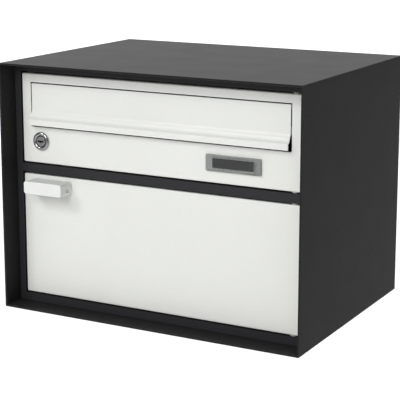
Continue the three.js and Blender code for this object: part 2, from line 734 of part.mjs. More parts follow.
// ---- Assembly ----
part(mailbox, 'outer_shell', outerShell(), finishes.anthracite);
part(mailbox, 'rear_panel', rearPanel(), finishes.anthracite);
part(mailbox, 'carcass_back', carcassBack(), finishes.innerSheet);
for (const side of ['left', 'right']) {
  part(mailbox, `carcass_side_${side}`, carcassSide(side), finishes.innerSheet);
}
part(mailbox, 'carcass_top', carcassTop(), finishes.innerSheet);
part(mailbox, 'carcass_floor', carcassTop().mirror([0, 0, 1]), finishes.innerSheet);
part(mailbox, 'divider', divider(), finishes.innerSheet);
for (const { name, x, z } of wallHoles) {
  const span = [-rearSheet - restGap - spacerLength, -rearSheet - restGap];
  const sleeve = ring(spacerRadius, wallHoleRadius, span, 'y', [x, 0, z], smallTurnSteps);
  part(mailbox, `wall_spacer_${name}`, sleeve, finishes.zinc);
}
part(mailbox, 'hinge_pin_top', endPin(), finishes.zinc);
part(mailbox, 'hinge_pin_middle', middlePin(), finishes.zinc);
part(mailbox, 'hinge_pin_bottom', endPin().mirror([0, 0, 1]), finishes.zinc);
part(mailbox, 'lock_strike', lockStrike(), finishes.zinc);
part(mailbox, 'door_buffer', doorBuffer(), finishes.rubber);
part(mailbox, 'catch_housing', catchHousing(), finishes.moulded);
part(mailbox, 'catch_magnet', catchMagnet(), finishes.magnet);

part(letterDoor, 'letter_door_panel', letterDoorPanel(), finishes.white);
part(letterDoor, 'letter_hinge_bush_top', hingeBush(letterTop, 1), finishes.bush);
part(letterDoor, 'letter_hinge_bush_bottom', hingeBush(letterBottom, -1), finishes.bush);
for (const side of ['left', 'right']) {
  part(letterDoor, `flap_bracket_${side}`, flapBracket(side), finishes.zinc);
}
part(letterDoor, 'flap_rod', flapRod(), finishes.zinc);
part(letterDoor, 'lock_housing', lockHousing(), finishes.chrome);
part(letterDoor, 'lock_nut', lockNut(), finishes.zinc);
part(letterDoor, 'name_plate_base', plateTray(), finishes.clear);
part(letterDoor, 'name_label', plateLabel(), finishes.label);

part(slotFlap, 'slot_flap', flapBody(), finishes.white);

part(lockRotor, 'lock_plug', lockPlug(), finishes.chrome);
part(lockRotor, 'lock_cam', lockCam(), finishes.zinc);
part(lockRotor, 'cam_nut', camNut(), finishes.zinc);

part(coverGroup, 'name_plate_cover', plateClearCover(), finishes.clear);

part(parcelDoor, 'parcel_door_panel', parcelDoorPanel(), finishes.white);
part(parcelDoor, 'parcel_hinge_bush_top', hingeBush(parcelTop, 1), finishes.bush);
part(parcelDoor, 'parcel_hinge_bush_bottom', hingeBush(parcelBottom, -1), finishes.bush);
part(parcelDoor, 'door_handle', doorHandle(), finishes.moulded);
['left', 'right'].forEach((side, i) => {
  part(parcelDoor, `handle_screw_${side}`, handleScrew(bossPlaces[i]), finishes.zinc);
});

export default mailbox;
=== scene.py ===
"""Looks of a wall mounted mailbox: a folded sleeve round an inner body with two hinged doors.

Metres, +Z up, -Y the front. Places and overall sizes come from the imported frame; each class
keeps the sizes of its own details.
"""

import logging
import math
from abc import ABC, abstractmethod
from contextlib import contextmanager
from dataclasses import dataclass, field
from enum import Enum
from typing import Callable, Iterable, Iterator, Sequence

import bmesh
import bpy
from mathutils import Matrix, Vector


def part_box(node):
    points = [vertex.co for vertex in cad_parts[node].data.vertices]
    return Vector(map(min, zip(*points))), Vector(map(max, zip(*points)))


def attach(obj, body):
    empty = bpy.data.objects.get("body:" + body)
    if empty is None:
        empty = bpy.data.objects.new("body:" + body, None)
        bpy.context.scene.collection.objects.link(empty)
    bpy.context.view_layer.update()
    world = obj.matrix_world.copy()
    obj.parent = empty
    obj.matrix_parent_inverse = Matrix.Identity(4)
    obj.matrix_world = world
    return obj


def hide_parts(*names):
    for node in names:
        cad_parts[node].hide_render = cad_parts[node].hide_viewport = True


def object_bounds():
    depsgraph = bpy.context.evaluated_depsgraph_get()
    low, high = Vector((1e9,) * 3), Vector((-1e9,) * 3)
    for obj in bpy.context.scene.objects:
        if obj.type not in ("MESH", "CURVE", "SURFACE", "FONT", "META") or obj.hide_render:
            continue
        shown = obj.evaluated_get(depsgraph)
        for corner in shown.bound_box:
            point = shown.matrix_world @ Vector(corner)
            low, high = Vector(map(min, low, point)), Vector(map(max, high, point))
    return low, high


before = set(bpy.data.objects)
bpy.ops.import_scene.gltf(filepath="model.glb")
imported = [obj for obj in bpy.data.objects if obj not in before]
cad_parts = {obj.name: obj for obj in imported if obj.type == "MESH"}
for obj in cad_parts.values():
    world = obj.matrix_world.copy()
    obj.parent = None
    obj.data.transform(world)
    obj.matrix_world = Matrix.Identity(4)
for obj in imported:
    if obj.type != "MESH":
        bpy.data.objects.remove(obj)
CAD_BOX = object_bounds()

log = logging.getLogger("mailbox")

MM = 0.001
DEGREE = math.pi / 180
TINY = 0.02 * MM  # places closer together than this are one place
MERGE = 0.002 * MM  # doubles closer together than this are merged
PAST = 1.0 * MM  # how far a cutter runs past what it cuts
FLAT = 0.5 * DEGREE  # frame faces that meet at less than this are one face
SHARP = 30 * DEGREE  # and at more than this have an edge to break

# A colour Mix node has several sockets with one name, so these are taken by number.
MIX_AMOUNT, MIX_FIRST, MIX_SECOND, MIX_COLOUR = 0, 6, 7, 2

Colour = tuple[float, float, float]
Point = tuple[float, float, float]
Socket = bpy.types.NodeSocket
Piece = bpy.types.Object


class Axis(Enum):
    """The frame's three axes."""

    X = 0
    Y = 1
    Z = 2

    @property
    def unit(self) -> Vector:
        """The axis as a unit vector."""
        return Vector([1.0 if i == self.value else 0.0 for i in range(3)])


class Body(Enum):
    """The moving bodies that pieces ride on."""

    BOX = "box"
    LETTER_DOOR = "letter_door"
    SLOT_FLAP = "slot_flap"
    LOCK_ROTOR = "lock_rotor"
    NAME_PLATE_COVER = "name_plate_cover"
    PARCEL_DOOR = "parcel_door"


class Element(Enum):
    """What edit mode selects: its selection mode, and its list in a mesh."""

    VERTEX = ("VERT", "verts")
    EDGE = ("EDGE", "edges")
    FACE = ("FACE", "faces")


class Joint(Enum):
    """How one shape changes another."""

    CUT = "DIFFERENCE"
    JOIN = "UNION"
    COMMON = "INTERSECT"


# ---------------------------------------------------------------- finishes


class Recipe:
    """The node tree of one procedural finish."""

    def __init__(self, name: str) -> None:
        """Starts a material.

        Args:
            name: The finish's name.
        """
        self.material = bpy.data.materials.new(name)
        self.material.use_nodes = True
        self.tree = self.material.node_tree
        self.shader = self.tree.nodes["Principled BSDF"]
        self.place = self.add("ShaderNodeTexCoord").outputs["Object"]

    def add(self, kind: str, **settings: object) -> bpy.types.Node:
        """Adds a node.

        Args:
            kind: The node's type name.
            settings: Values for the node's own properties.

        Returns:
            The new node.
        """
        node = self.tree.nodes.new(kind)
        for key, value in settings.items():
            setattr(node, key, value)
        return node

    def feed(self, target: Socket, value: object) -> None:
        """Links a socket to an input, or writes a plain value on it.

        Args:
            target: The input.
            value: A socket, a number or a colour.
        """
        if isinstance(value, bpy.types.NodeSocket):
            self.tree.links.new(value, target)
        elif isinstance(value, tuple) and len(value) == 3 and target.type == "RGBA":
            target.default_value = (*value, 1.0)
        else:
            target.default_value = value

    def stretched(self, stretch: Point) -> Socket:
        """The place on the piece, scaled along each axis so that a pattern lies in lines.

        Args:
            stretch: The three scales.

        Returns:
            The scaled coordinates.
        """
        mapping = self.add("ShaderNodeMapping")
        self.feed(mapping.inputs["Vector"], self.place)
        self.feed(mapping.inputs["Scale"], stretch)
        return mapping.outputs["Vector"]

    def noise(self, scale: float, detail: float = 3.0, place: Socket | None = None) -> Socket:
        """Cloudy noise.

        Args:
            scale: Cells in a metre.
            detail: Octaves of finer noise on top.
            place: Coordinates, when they aren't the piece's own.

        Returns:
            A value about 0.5, between 0 and 1.
        """
        node = self.add("ShaderNodeTexNoise")
        self.feed(node.inputs["Vector"], place or self.place)
        self.feed(node.inputs["Scale"], scale)
        self.feed(node.inputs["Detail"], detail)
        return node.outputs["Fac"]

    def cells(self, scale: float) -> Socket:
        """Pebbled grain.

        Args:
            scale: Pebbles in a metre.

        Returns:
            The distance from the nearest pebble's middle.
        """
        node = self.add("ShaderNodeTexVoronoi", feature="F1")
        self.feed(node.inputs["Vector"], self.place)
        self.feed(node.inputs["Scale"], scale)
        return node.outputs["Distance"]

    def span(self, value: Socket, source: Sequence[float], target: Sequence[float]) -> Socket:
        """Maps a value from one range to another, clamped.

        Args:
            value: The value to map.
            source: Its lowest and highest values.
            target: What those two become.

        Returns:
            The mapped value.
        """
        node = self.add("ShaderNodeMapRange")
        self.feed(node.inputs["Value"], value)
        for name, number in zip(("From Min", "From Max", "To Min", "To Max"), (*source, *target)):
            self.feed(node.inputs[name], number)
        return node.outputs["Result"]

    def maths(self, operation: str, first: object, second: object) -> Socket:
        """Reckons with two values.

        Args:
            operation: The sum's name.
            first: A number or a socket.
            second: A number or a socket.

        Returns:
            What it comes to.
        """
        node = self.add("ShaderNodeMath", operation=operation)
        self.feed(node.inputs[0], first)
        self.feed(node.inputs[1], second)
        return node.outputs[0]

    def blend(self, amount: object, first: object, second: object) -> Socket:
        """Mixes two colours.

        Args:
            amount: 0 for the first, 1 for the second.
            first: A colour or a colour socket.
            second: A colour or a colour socket.

        Returns:
            The mixed colour.
        """
        node = self.add("ShaderNodeMix", data_type="RGBA")
        self.feed(node.inputs[MIX_AMOUNT], amount)
        self.feed(node.inputs[MIX_FIRST], first)
        self.feed(node.inputs[MIX_SECOND], second)
        return node.outputs[MIX_COLOUR]

    def relief(self, height: Socket, depth: float, under: Socket | None = None) -> Socket:
        """Surface relief.

        Args:
            height: A value between 0 and 1.
            depth: Metres between the two.
            under: A coarser relief that this one lies on.

        Returns:
            The relief's normal.
        """
        node = self.add("ShaderNodeBump")
        self.feed(node.inputs["Height"], height)
        self.feed(node.inputs["Distance"], depth)
        self.feed(node.inputs["Strength"], 1.0)
        if under is not None:
            self.feed(node.inputs["Normal"], under)
        return node.outputs["Normal"]

    def edges(self, width: float) -> Socket:
        """Where the piece has an edge.

        Args:
            width: How far from the edge it still counts, in metres.

        Returns:
            1 on an edge, 0 away from it.
        """
        rounded = self.add("ShaderNodeBevel", samples=4)
        self.feed(rounded.inputs["Radius"], width)
        true = self.add("ShaderNodeNewGeometry")
        dot = self.add("ShaderNodeVectorMath", operation="DOT_PRODUCT")
        self.feed(dot.inputs[0], rounded.outputs["Normal"])
        self.feed(dot.inputs[1], true.outputs["Normal"])
        return self.span(dot.outputs["Value"], (0.999, 0.93), (0.0, 1.0))

    def set(self, **values: object) -> None:
        """Writes the shader's own sockets, their names with _ for a space."""
        for key, value in values.items():
            self.feed(self.shader.inputs[key.replace("_", " ")], value)


def shade(colour: Colour, factor: float) -> Colour:
    """A colour made lighter or darker."""
    return tuple(min(1.0, channel * factor) for channel in colour)


@dataclass(frozen=True)
class Finish(ABC):
    """A finish that pieces are dressed in.

    Attributes:
        slot: The record's material slot.
        colour: Its main colour, linear.
    """

    slot: str
    colour: Colour

    def material(self) -> bpy.types.Material:
        """Gives the finish's material, made when it is first asked for.

        Returns:
            The material.
        """
        name = f"{self.slot}_finish"
        if name not in bpy.data.materials:
            self.mix(Recipe(name))
        return bpy.data.materials[name]

    @abstractmethod
    def mix(self, recipe: Recipe) -> None:
        """Builds the finish's nodes.

        Args:
            recipe: The node tree to fill.
        """


@dataclass(frozen=True)
class PowderCoat(Finish):
    """Baked powder: fine relief, cloudy tone, and edges painted lighter, partly for a thinner worn coat
    and partly as a painted highlight.

    Attributes:
        roughness: Middle of its roughness.
        specular: Strength of its gloss.
        grain: Grains in a metre.
        depth: Height of the grain, in metres.
        speckle: How far single grains differ in tone.
        edge: How much lighter an edge is painted, for wear and as a painted highlight.
        spread: How far the roughness strays from its middle.
        wear_and_highlight_width: How far from an edge the coat is painted lighter, for a thin coat and a
            painted highlight.
    """

    roughness: float
    specular: float
    grain: float
    depth: float
    speckle: float
    edge: float
    spread: float = 0.015
    wear_and_highlight_width: float = 0.6 * MM

    def mix(self, recipe: Recipe) -> None:
        """Builds the coat's nodes.

        Args:
            recipe: The node tree to fill.
        """
        cloud = recipe.span(recipe.noise(5.0, 4.0), (0.3, 0.7), (0.0, 1.0))
        tone = recipe.blend(cloud, shade(self.colour, 0.97), shade(self.colour, 1.03))
        grain = recipe.noise(self.grain, 2.0)
        fleck = recipe.span(grain, (0.35, 0.65), (0.0, 1.0))
        dark, light = shade(self.colour, 1 - self.speckle), shade(self.colour, 1 + self.speckle)
        body = recipe.blend(0.5, tone, recipe.blend(fleck, dark, light))
        # Edges are painted lighter: partly a thin, worn coat, partly a painted highlight where light
        # catches the rounded edges.
        patches = recipe.span(recipe.noise(60.0, 3.0), (0.3, 0.6), (0.3, 1.0))
        wear_and_highlight = recipe.maths("MULTIPLY", recipe.edges(self.wear_and_highlight_width), patches)
        rough = (self.roughness - self.spread, self.roughness + self.spread)
        swell = recipe.relief(recipe.noise(self.grain / 5, 2.0), self.depth)
        recipe.set(
            Base_Color=recipe.blend(wear_and_highlight, body, shade(self.colour, self.edge)),
            Roughness=recipe.span(recipe.noise(24.0, 5.0), (0.3, 0.7), rough),
            Specular_IOR_Level=self.specular,
            Normal=recipe.relief(grain, self.depth, swell),
        )


@dataclass(frozen=True)
class ZincPlate(Finish):
    """Bright zinc on steel: a fine spangle and a faint rolling direction."""

    def mix(self, recipe: Recipe) -> None:
        """Builds the plate's nodes.

        Args:
            recipe: The node tree to fill.
        """
        spangle = recipe.span(recipe.cells(260.0), (0.0, 0.8), (0.0, 1.0))
        rolled = recipe.noise(900.0, 4.0, recipe.stretched((1.0, 1.0, 0.06)))
        tone = recipe.blend(spangle, shade(self.colour, 0.86), shade(self.colour, 1.1))
        recipe.set(
            Base_Color=recipe.blend(recipe.maths("MULTIPLY", rolled, 0.4), tone, (0.30, 0.31, 0.33)),
            Metallic=1.0,
            Roughness=recipe.span(rolled, (0.25, 0.75), (0.24, 0.46)),
            Normal=recipe.relief(rolled, 0.01 * MM),
        )


@dataclass(frozen=True)
class Chrome(Finish):
    """Polished chrome: hairline scratches and a slight waviness."""

    def mix(self, recipe: Recipe) -> None:
        """Builds the chrome's nodes.

        Args:
            recipe: The node tree to fill.
        """
        hair = recipe.noise(700.0, 6.0, recipe.stretched((1.0, 1.0, 0.15)))
        smear = recipe.noise(130.0, 4.0)
        smeared = recipe.span(smear, (0.4, 0.75), (0.0, 1.0))
        recipe.set(
            Base_Color=recipe.blend(smeared, self.colour, shade(self.colour, 0.8)),
            Metallic=1.0,
            Roughness=recipe.span(hair, (0.3, 0.75), (0.07, 0.22)),
            Normal=recipe.relief(smear, 0.02 * MM),
        )


@dataclass(frozen=True)
class Nylon(Finish):
    """Undyed nylon: milky, faintly cloudy, with a dull moulded skin."""

    def mix(self, recipe: Recipe) -> None:
        """Builds the nylon's nodes.

        Args:
            recipe: The node tree to fill.
        """
        cloud = recipe.noise(180.0, 3.0)
        recipe.set(
            Base_Color=recipe.blend(cloud, shade(self.colour, 0.92), shade(self.colour, 1.08)),
            Roughness=recipe.span(recipe.noise(900.0), (0.3, 0.7), (0.38, 0.55)),
            Subsurface_Weight=0.25,
            Subsurface_Scale=0.6 * MM,
            Normal=recipe.relief(recipe.noise(2500.0, 2.0), 0.02 * MM),
        )


@dataclass(frozen=True)
class Rubber(Finish):
    """Soft black rubber with bloom."""

    def mix(self, recipe: Recipe) -> None:
        """Builds the rubber's nodes.

        Args:
            recipe: The node tree to fill.
        """
        bloom = recipe.span(recipe.noise(140.0, 5.0), (0.45, 0.8), (0.0, 0.6))
        recipe.set(
            Base_Color=recipe.blend(bloom, self.colour, (0.07, 0.07, 0.072)),
            Roughness=recipe.span(recipe.noise(600.0), (0.3, 0.7), (0.72, 0.9)),
            Normal=recipe.relief(recipe.cells(3000.0), 0.02 * MM),
        )


@dataclass(frozen=True)
class ClearPlastic(Finish):
    """Clear polished plastic with handling marks."""

    def mix(self, recipe: Recipe) -> None:
        """Builds the plastic's nodes.

        Args:
            recipe: The node tree to fill.
        """
        marks = recipe.noise(420.0, 6.0, recipe.stretched((0.2, 1.0, 1.0)))
        recipe.set(
            Base_Color=recipe.blend(recipe.noise(60.0), self.colour, shade(self.colour, 0.93)),
            Roughness=recipe.maths(
                "MAXIMUM", recipe.span(marks, (0.45, 0.8), (0.02, 0.12)),
                recipe.maths("MULTIPLY", recipe.edges(0.35 * MM), 0.6),
            ),
            IOR=1.49,
            Transmission_Weight=1.0,
            Normal=recipe.relief(marks, 0.006 * MM),
        )


@dataclass(frozen=True)
class LabelCard(Finish):
    """A blank dark card: fine fibres under a matt print."""

    def mix(self, recipe: Recipe) -> None:
        """Builds the card's nodes.

        Args:
            recipe: The node tree to fill.
        """
        fibre = recipe.noise(1400.0, 5.0, recipe.stretched((0.3, 1.0, 1.0)))
        recipe.set(
            Base_Color=recipe.blend(fibre, shade(self.colour, 0.7), shade(self.colour, 1.3)),
            Roughness=recipe.span(fibre, (0.3, 0.7), (0.5, 0.75)),
            Normal=recipe.relief(fibre, 0.02 * MM),
        )


@dataclass(frozen=True)
class MouldedPlastic(Finish):
    """Moulded plastic with a spark-eroded grain."""

    def mix(self, recipe: Recipe) -> None:
        """Builds the plastic's nodes.

        Args:
            recipe: The node tree to fill.
        """
        grain = recipe.cells(2600.0)
        flow = recipe.noise(45.0, 3.0)
        recipe.set(
            Base_Color=recipe.blend(flow, shade(self.colour, 0.97), shade(self.colour, 1.03)),
            Roughness=recipe.span(recipe.noise(300.0), (0.3, 0.7), (0.32, 0.44)),
            Normal=recipe.relief(grain, 0.012 * MM, recipe.relief(flow, 0.05 * MM)),
        )


@dataclass(frozen=True)
class Ferrite(Finish):
    """A sintered magnet: dark, gritty, with chips that catch the light."""

    def mix(self, recipe: Recipe) -> None:
        """Builds the magnet's nodes.

        Args:
            recipe: The node tree to fill.
        """
        grit = recipe.cells(1500.0)
        recipe.set(
            Base_Color=recipe.blend(grit, shade(self.colour, 0.7), shade(self.colour, 1.6)),
            Metallic=0.35,
            Roughness=recipe.span(grit, (0.0, 0.8), (0.45, 0.75)),
            Normal=recipe.relief(grit, 0.05 * MM),
        )


# Each coat's edge factor paints its edges lighter, for wear and as a painted highlight; the anthracite's
# is the strongest.
ANTHRACITE = PowderCoat(
    "anthracite_powder_coat", (0.021, 0.021, 0.021),
    roughness=0.44, specular=0.045, grain=620.0, depth=0.04 * MM, speckle=0.34, edge=3.2,
)
INNER_COAT = PowderCoat(
    "inner_powder_coat", (0.026, 0.026, 0.029),
    roughness=0.55, specular=0.2, grain=1300.0, depth=0.04 * MM, speckle=0.18, edge=1.6,
)
WHITE_COAT = PowderCoat(
    "white_powder_coat", (0.79, 0.80, 0.765),
    roughness=0.30, specular=0.45, grain=420.0, depth=0.005 * MM, speckle=0.015, edge=1.02,
)
ZINC = ZincPlate("zinc_plated_steel", (0.56, 0.57, 0.59))
CHROME = Chrome("polished_chrome", (0.38, 0.38, 0.385))
NYLON = Nylon("natural_nylon", (0.47, 0.485, 0.47))
RUBBER = Rubber("black_rubber", (0.02, 0.02, 0.021))
CLEAR = ClearPlastic("clear_plastic", (0.97, 0.975, 0.98))
CARD = LabelCard("dark_label_card", (0.014, 0.014, 0.017))
MOULDED = MouldedPlastic("white_moulded_plastic", (0.79, 0.80, 0.775))
FERRITE = Ferrite("ferrite_magnet", (0.05, 0.05, 0.05))


# ---------------------------------------------------------------- the bench


class Bench:
    """Modelling by hand: primitives, edit-mode work and applied modifiers."""

    DRILL_STEPS = 48

    @staticmethod
    def only(piece: Piece) -> None:
        """Selects one piece and makes it active.

        Args:
            piece: The piece.
        """
        bpy.ops.object.select_all(action="DESELECT")
        piece.select_set(True)
        bpy.context.view_layer.objects.active = piece

    @staticmethod
    def settle(name: str) -> Piece:
        """Names the new primitive and puts its place into its mesh.

        Args:
            name: The piece's name.

        Returns:
            The piece.
        """
        piece = bpy.context.active_object
        piece.name = name
        piece.data.name = name
        bpy.ops.object.transform_apply(location=True, rotation=True, scale=True)
        return piece

    @classmethod
    def block(cls, name: str, low: Sequence[float], high: Sequence[float]) -> Piece:
        """A block between two corners, ready to be shaped.

        Args:
            name: The piece's name.
            low: Its lowest corner.
            high: Its highest corner.

        Returns:
            The piece.
        """
        bpy.ops.object.select_all(action="DESELECT")
        low, high = Vector(low), Vector(high)
        bpy.ops.mesh.primitive_cube_add(size=1.0, location=(low + high) / 2, scale=high - low)
        return cls.settle(name)

    @classmethod
    def drill(cls, radius: float, start: Sequence[float], length: float, axis: Axis) -> Piece:
        """A round cutter from a point along an axis.

        Args:
            radius: Its radius.
            start: The middle of its first end.
            length: How far it goes.
            axis: The axis that it goes along.

        Returns:
            The cutter.
        """
        bpy.ops.object.select_all(action="DESELECT")
        turn = {Axis.X: (0, math.pi / 2, 0), Axis.Y: (math.pi / 2, 0, 0), Axis.Z: (0, 0, 0)}[axis]
        middle = Vector(start) + axis.unit * (length / 2)
        bpy.ops.mesh.primitive_cylinder_add(
            vertices=cls.DRILL_STEPS, radius=radius, depth=abs(length), location=middle, rotation=turn
        )
        return cls.settle("cutter")

    @classmethod
    def line(cls, name: str, points: Sequence[Sequence[float]]) -> Piece:
        """A row of edges, drawn by extruding one vertex from point to point.

        Args:
            name: The piece's name.
            points: Where it goes.

        Returns:
            The piece.
        """
        bpy.ops.object.select_all(action="DESELECT")
        bpy.ops.mesh.primitive_plane_add(size=MM, location=points[0])
        piece = cls.settle(name)
        with cls.editing(piece, Element.VERTEX):
            bpy.ops.mesh.select_all(action="SELECT")
            bpy.ops.mesh.merge(type="CENTER")
            for before, after in zip(points, points[1:]):
                step = Vector(after) - Vector(before)
                bpy.ops.mesh.extrude_vertices_move(TRANSFORM_OT_translate={"value": step})
        return piece

    @staticmethod
    @contextmanager
    def editing(piece: Piece, kind: Element = Element.FACE) -> Iterator[None]:
        """Edit mode on one piece, with nothing selected at first.

        Args:
            piece: The piece to shape.
            kind: What is picked.

        Yields:
            Nothing.
        """
        Bench.only(piece)
        bpy.ops.object.mode_set(mode="EDIT")
        bpy.ops.mesh.select_mode(type=kind.value[0])
        bpy.ops.mesh.select_all(action="DESELECT")
        yield
        bpy.ops.object.mode_set(mode="OBJECT")

    @staticmethod
    def pick(piece: Piece, kind: Element, test: Callable[[object], bool]) -> None:
        """Selects what a test accepts, in edit mode, and nothing else.

        Args:
            piece: The piece in edit mode.
            kind: What is picked.
            test: Says whether one of them is wanted.
        """
        bpy.ops.mesh.select_all(action="DESELECT")
        mesh = bmesh.from_edit_mesh(piece.data)
        for item in getattr(mesh, kind.value[1]):
            if test(item):
                item.select_set(True)
        mesh.select_flush_mode()
        bmesh.update_edit_mesh(piece.data)

    @staticmethod
    def modify(piece: Piece, kind: str, **settings: object) -> None:
        """Adds a modifier to a piece and applies it.

        Args:
            piece: The piece.
            kind: The modifier's type name.
            settings: Values for its properties.
        """
        Bench.only(piece)
        modifier = piece.modifiers.new(kind.lower(), kind)
        for key, value in settings.items():
            setattr(modifier, key, value)
        bpy.ops.object.modifier_apply(modifier=modifier.name)

    @classmethod
    def cut(cls, piece: Piece, cutters: Iterable[Piece], joint: Joint = Joint.CUT) -> None:
        """Cuts shapes out of a piece, or joins them to it.

        Args:
            piece: The piece.
            cutters: The shapes, which are used up.
            joint: What they do to it.
        """
        for cutter in cutters:
            cls.square(cutter)
            cls.modify(piece, "BOOLEAN", object=cutter, operation=joint.value, solver="EXACT")
            bpy.data.meshes.remove(cutter.data)

    @classmethod
    def square(cls, piece: Piece) -> None:
        """Merges doubles and points all faces outwards.

        Args:
            piece: The piece.
        """
        with cls.editing(piece):
            bpy.ops.mesh.select_all(action="SELECT")
            bpy.ops.mesh.remove_doubles(threshold=MERGE)
            bpy.ops.mesh.normals_make_consistent(inside=False)

    @classmethod
    def soften(cls, piece: Piece, width: float, segments: int = 2, angle: float = 35 * DEGREE) -> None:
        """Breaks a piece's sharp edges and smooths its rounds.

        Args:
            piece: The piece.
            width: Width of each broken edge.
            segments: Facets across it.
            angle: The least angle between two faces that counts as an edge.
        """
        cls.modify(
            piece, "BEVEL", width=width, segments=segments, limit_method="ANGLE", angle_limit=angle,
            harden_normals=False, use_clamp_overlap=True,
        )
        cls.square(piece)
        cls.smooth(piece)

    @classmethod
    def round_depth(cls, block: Piece, radius: float, segments: int) -> None:
        """Rounds the edges of a block that run from front to back.

        Args:
            block: The block.
            radius: Radius of the rounds.
            segments: Facets in each.
        """
        with cls.editing(block, Element.EDGE):
            cls.pick(block, Element.EDGE, lambda edge: abs(edge.verts[0].co.y - edge.verts[1].co.y) > TINY)
            bpy.ops.mesh.bevel(offset=radius, segments=segments, affect="EDGES")

    @classmethod
    def round_outline(cls, piece: Piece, depth: float, radius: float, segments: int) -> None:
        """Rounds the edges of a piece that lie in one upright plane.

        Args:
            piece: The piece.
            depth: Where that plane is, from front to back.
            radius: Radius of the rounds.
            segments: Facets in each.
        """
        with cls.editing(piece, Element.EDGE):
            cls.pick(piece, Element.EDGE, lambda edge: all(abs(v.co.y - depth) < TINY for v in edge.verts))
            bpy.ops.mesh.bevel(offset=radius, segments=segments, affect="EDGES")

    @classmethod
    def smooth(cls, piece: Piece, angle: float = 32 * DEGREE) -> None:
        """Shades a piece smooth where its faces meet at less than an angle.

        Args:
            piece: The piece.
            angle: That angle.
        """
        cls.only(piece)
        bpy.ops.object.shade_smooth_by_angle(angle=angle)
        cls.modify(piece, "WEIGHTED_NORMAL", keep_sharp=True)

    @classmethod
    def turned(
        cls, name: str, profile: Sequence[tuple[float, float]], axis: Axis, centre: Sequence[float],
        steps: int = 64,
    ) -> Piece:
        """A turned piece: its profile is drawn and spun round an axis.

        Args:
            name: The piece's name.
            profile: Radius and distance along the axis of each point.
            axis: The axis that it turns about.
            centre: A point on that axis, where the distance is 0.
            steps: Facets in the full turn.

        Returns:
            The piece, closed.
        """
        side = {Axis.X: Axis.Z, Axis.Y: Axis.X, Axis.Z: Axis.X}[axis].unit
        middle = Vector(centre)
        points = [middle + side * radius + axis.unit * along for radius, along in profile]
        piece = cls.line(name, points)
        with cls.editing(piece, Element.VERTEX):
            bpy.ops.mesh.select_all(action="SELECT")
            bpy.ops.mesh.spin(
                steps=steps, angle=2 * math.pi, center=middle, axis=axis.unit, use_auto_merge=True
            )
        cls.square(piece)
        return piece

    @classmethod
    def bar(cls, name: str, outline: Sequence[Sequence[float]], run: Sequence[float]) -> Piece:
        """A bar: an outline is drawn, filled and extruded.

        Args:
            name: The piece's name.
            outline: Its corners, in order.
            run: How far and which way it is extruded.

        Returns:
            The piece, closed.
        """
        piece = cls.line(name, [*outline, outline[0]])
        with cls.editing(piece, Element.VERTEX):
            bpy.ops.mesh.select_all(action="SELECT")
            bpy.ops.mesh.remove_doubles(threshold=MERGE)
            bpy.ops.mesh.edge_face_add()
            bpy.ops.mesh.extrude_region_move(TRANSFORM_OT_translate={"value": Vector(run)})
        cls.square(piece)
        return piece

    @classmethod
    def copied(cls, piece: Piece, name: str, matrix: Matrix) -> Piece:
        """A copy of a piece with its own mesh, moved or mirrored in the mesh.

        Args:
            piece: The piece to copy.
            name: The copy's name.
            matrix: What its mesh goes through.

        Returns:
            The copy.
        """
        copy = bpy.data.objects.new(name, piece.data.copy())
        copy.data.name = name
        bpy.context.scene.collection.objects.link(copy)
        copy.data.transform(matrix)
        if matrix.determinant() < 0:
            cls.square(copy)
        return copy


def fit_out(piece: Piece, body: Body, finish: Finish, *nodes: str) -> None:
    """Dresses a new piece, puts it on its body and lets it stand for its frame nodes.

    Args:
        piece: The finished piece.
        body: The body it rides on.
        finish: Its finish.
        nodes: The frame nodes that it stands for.
    """
    piece.data.materials.clear()
    piece.data.materials.append(finish.material())
    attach(piece, body.value)
    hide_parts(*nodes)
    log.info("%s on %s, %d faces", piece.name, body.value, len(piece.data.polygons))


def dress(finish: Finish, edge: float, *names: str) -> None:
    """Gives frame nodes their finish and breaks their sharp edges.

    Args:
        finish: The finish.
        edge: Width of the broken edges.
        names: The frame nodes.
    """
    for name in names:
        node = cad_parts[name]
        node.data.materials.clear()
        node.data.materials.append(finish.material())
        node.modifiers.new("merged", "WELD").merge_threshold = TINY
        flat = node.modifiers.new("flat faces", "DECIMATE")
        flat.decimate_type = "DISSOLVE"
        flat.angle_limit = FLAT
        broken = node.modifiers.new("broken edges", "BEVEL")
        broken.width, broken.segments = edge, 2
        broken.limit_method, broken.angle_limit = "ANGLE", SHARP
        log.info("%s dressed in %s", name, finish.slot)


# ---------------------------------------------------------------- the mailbox


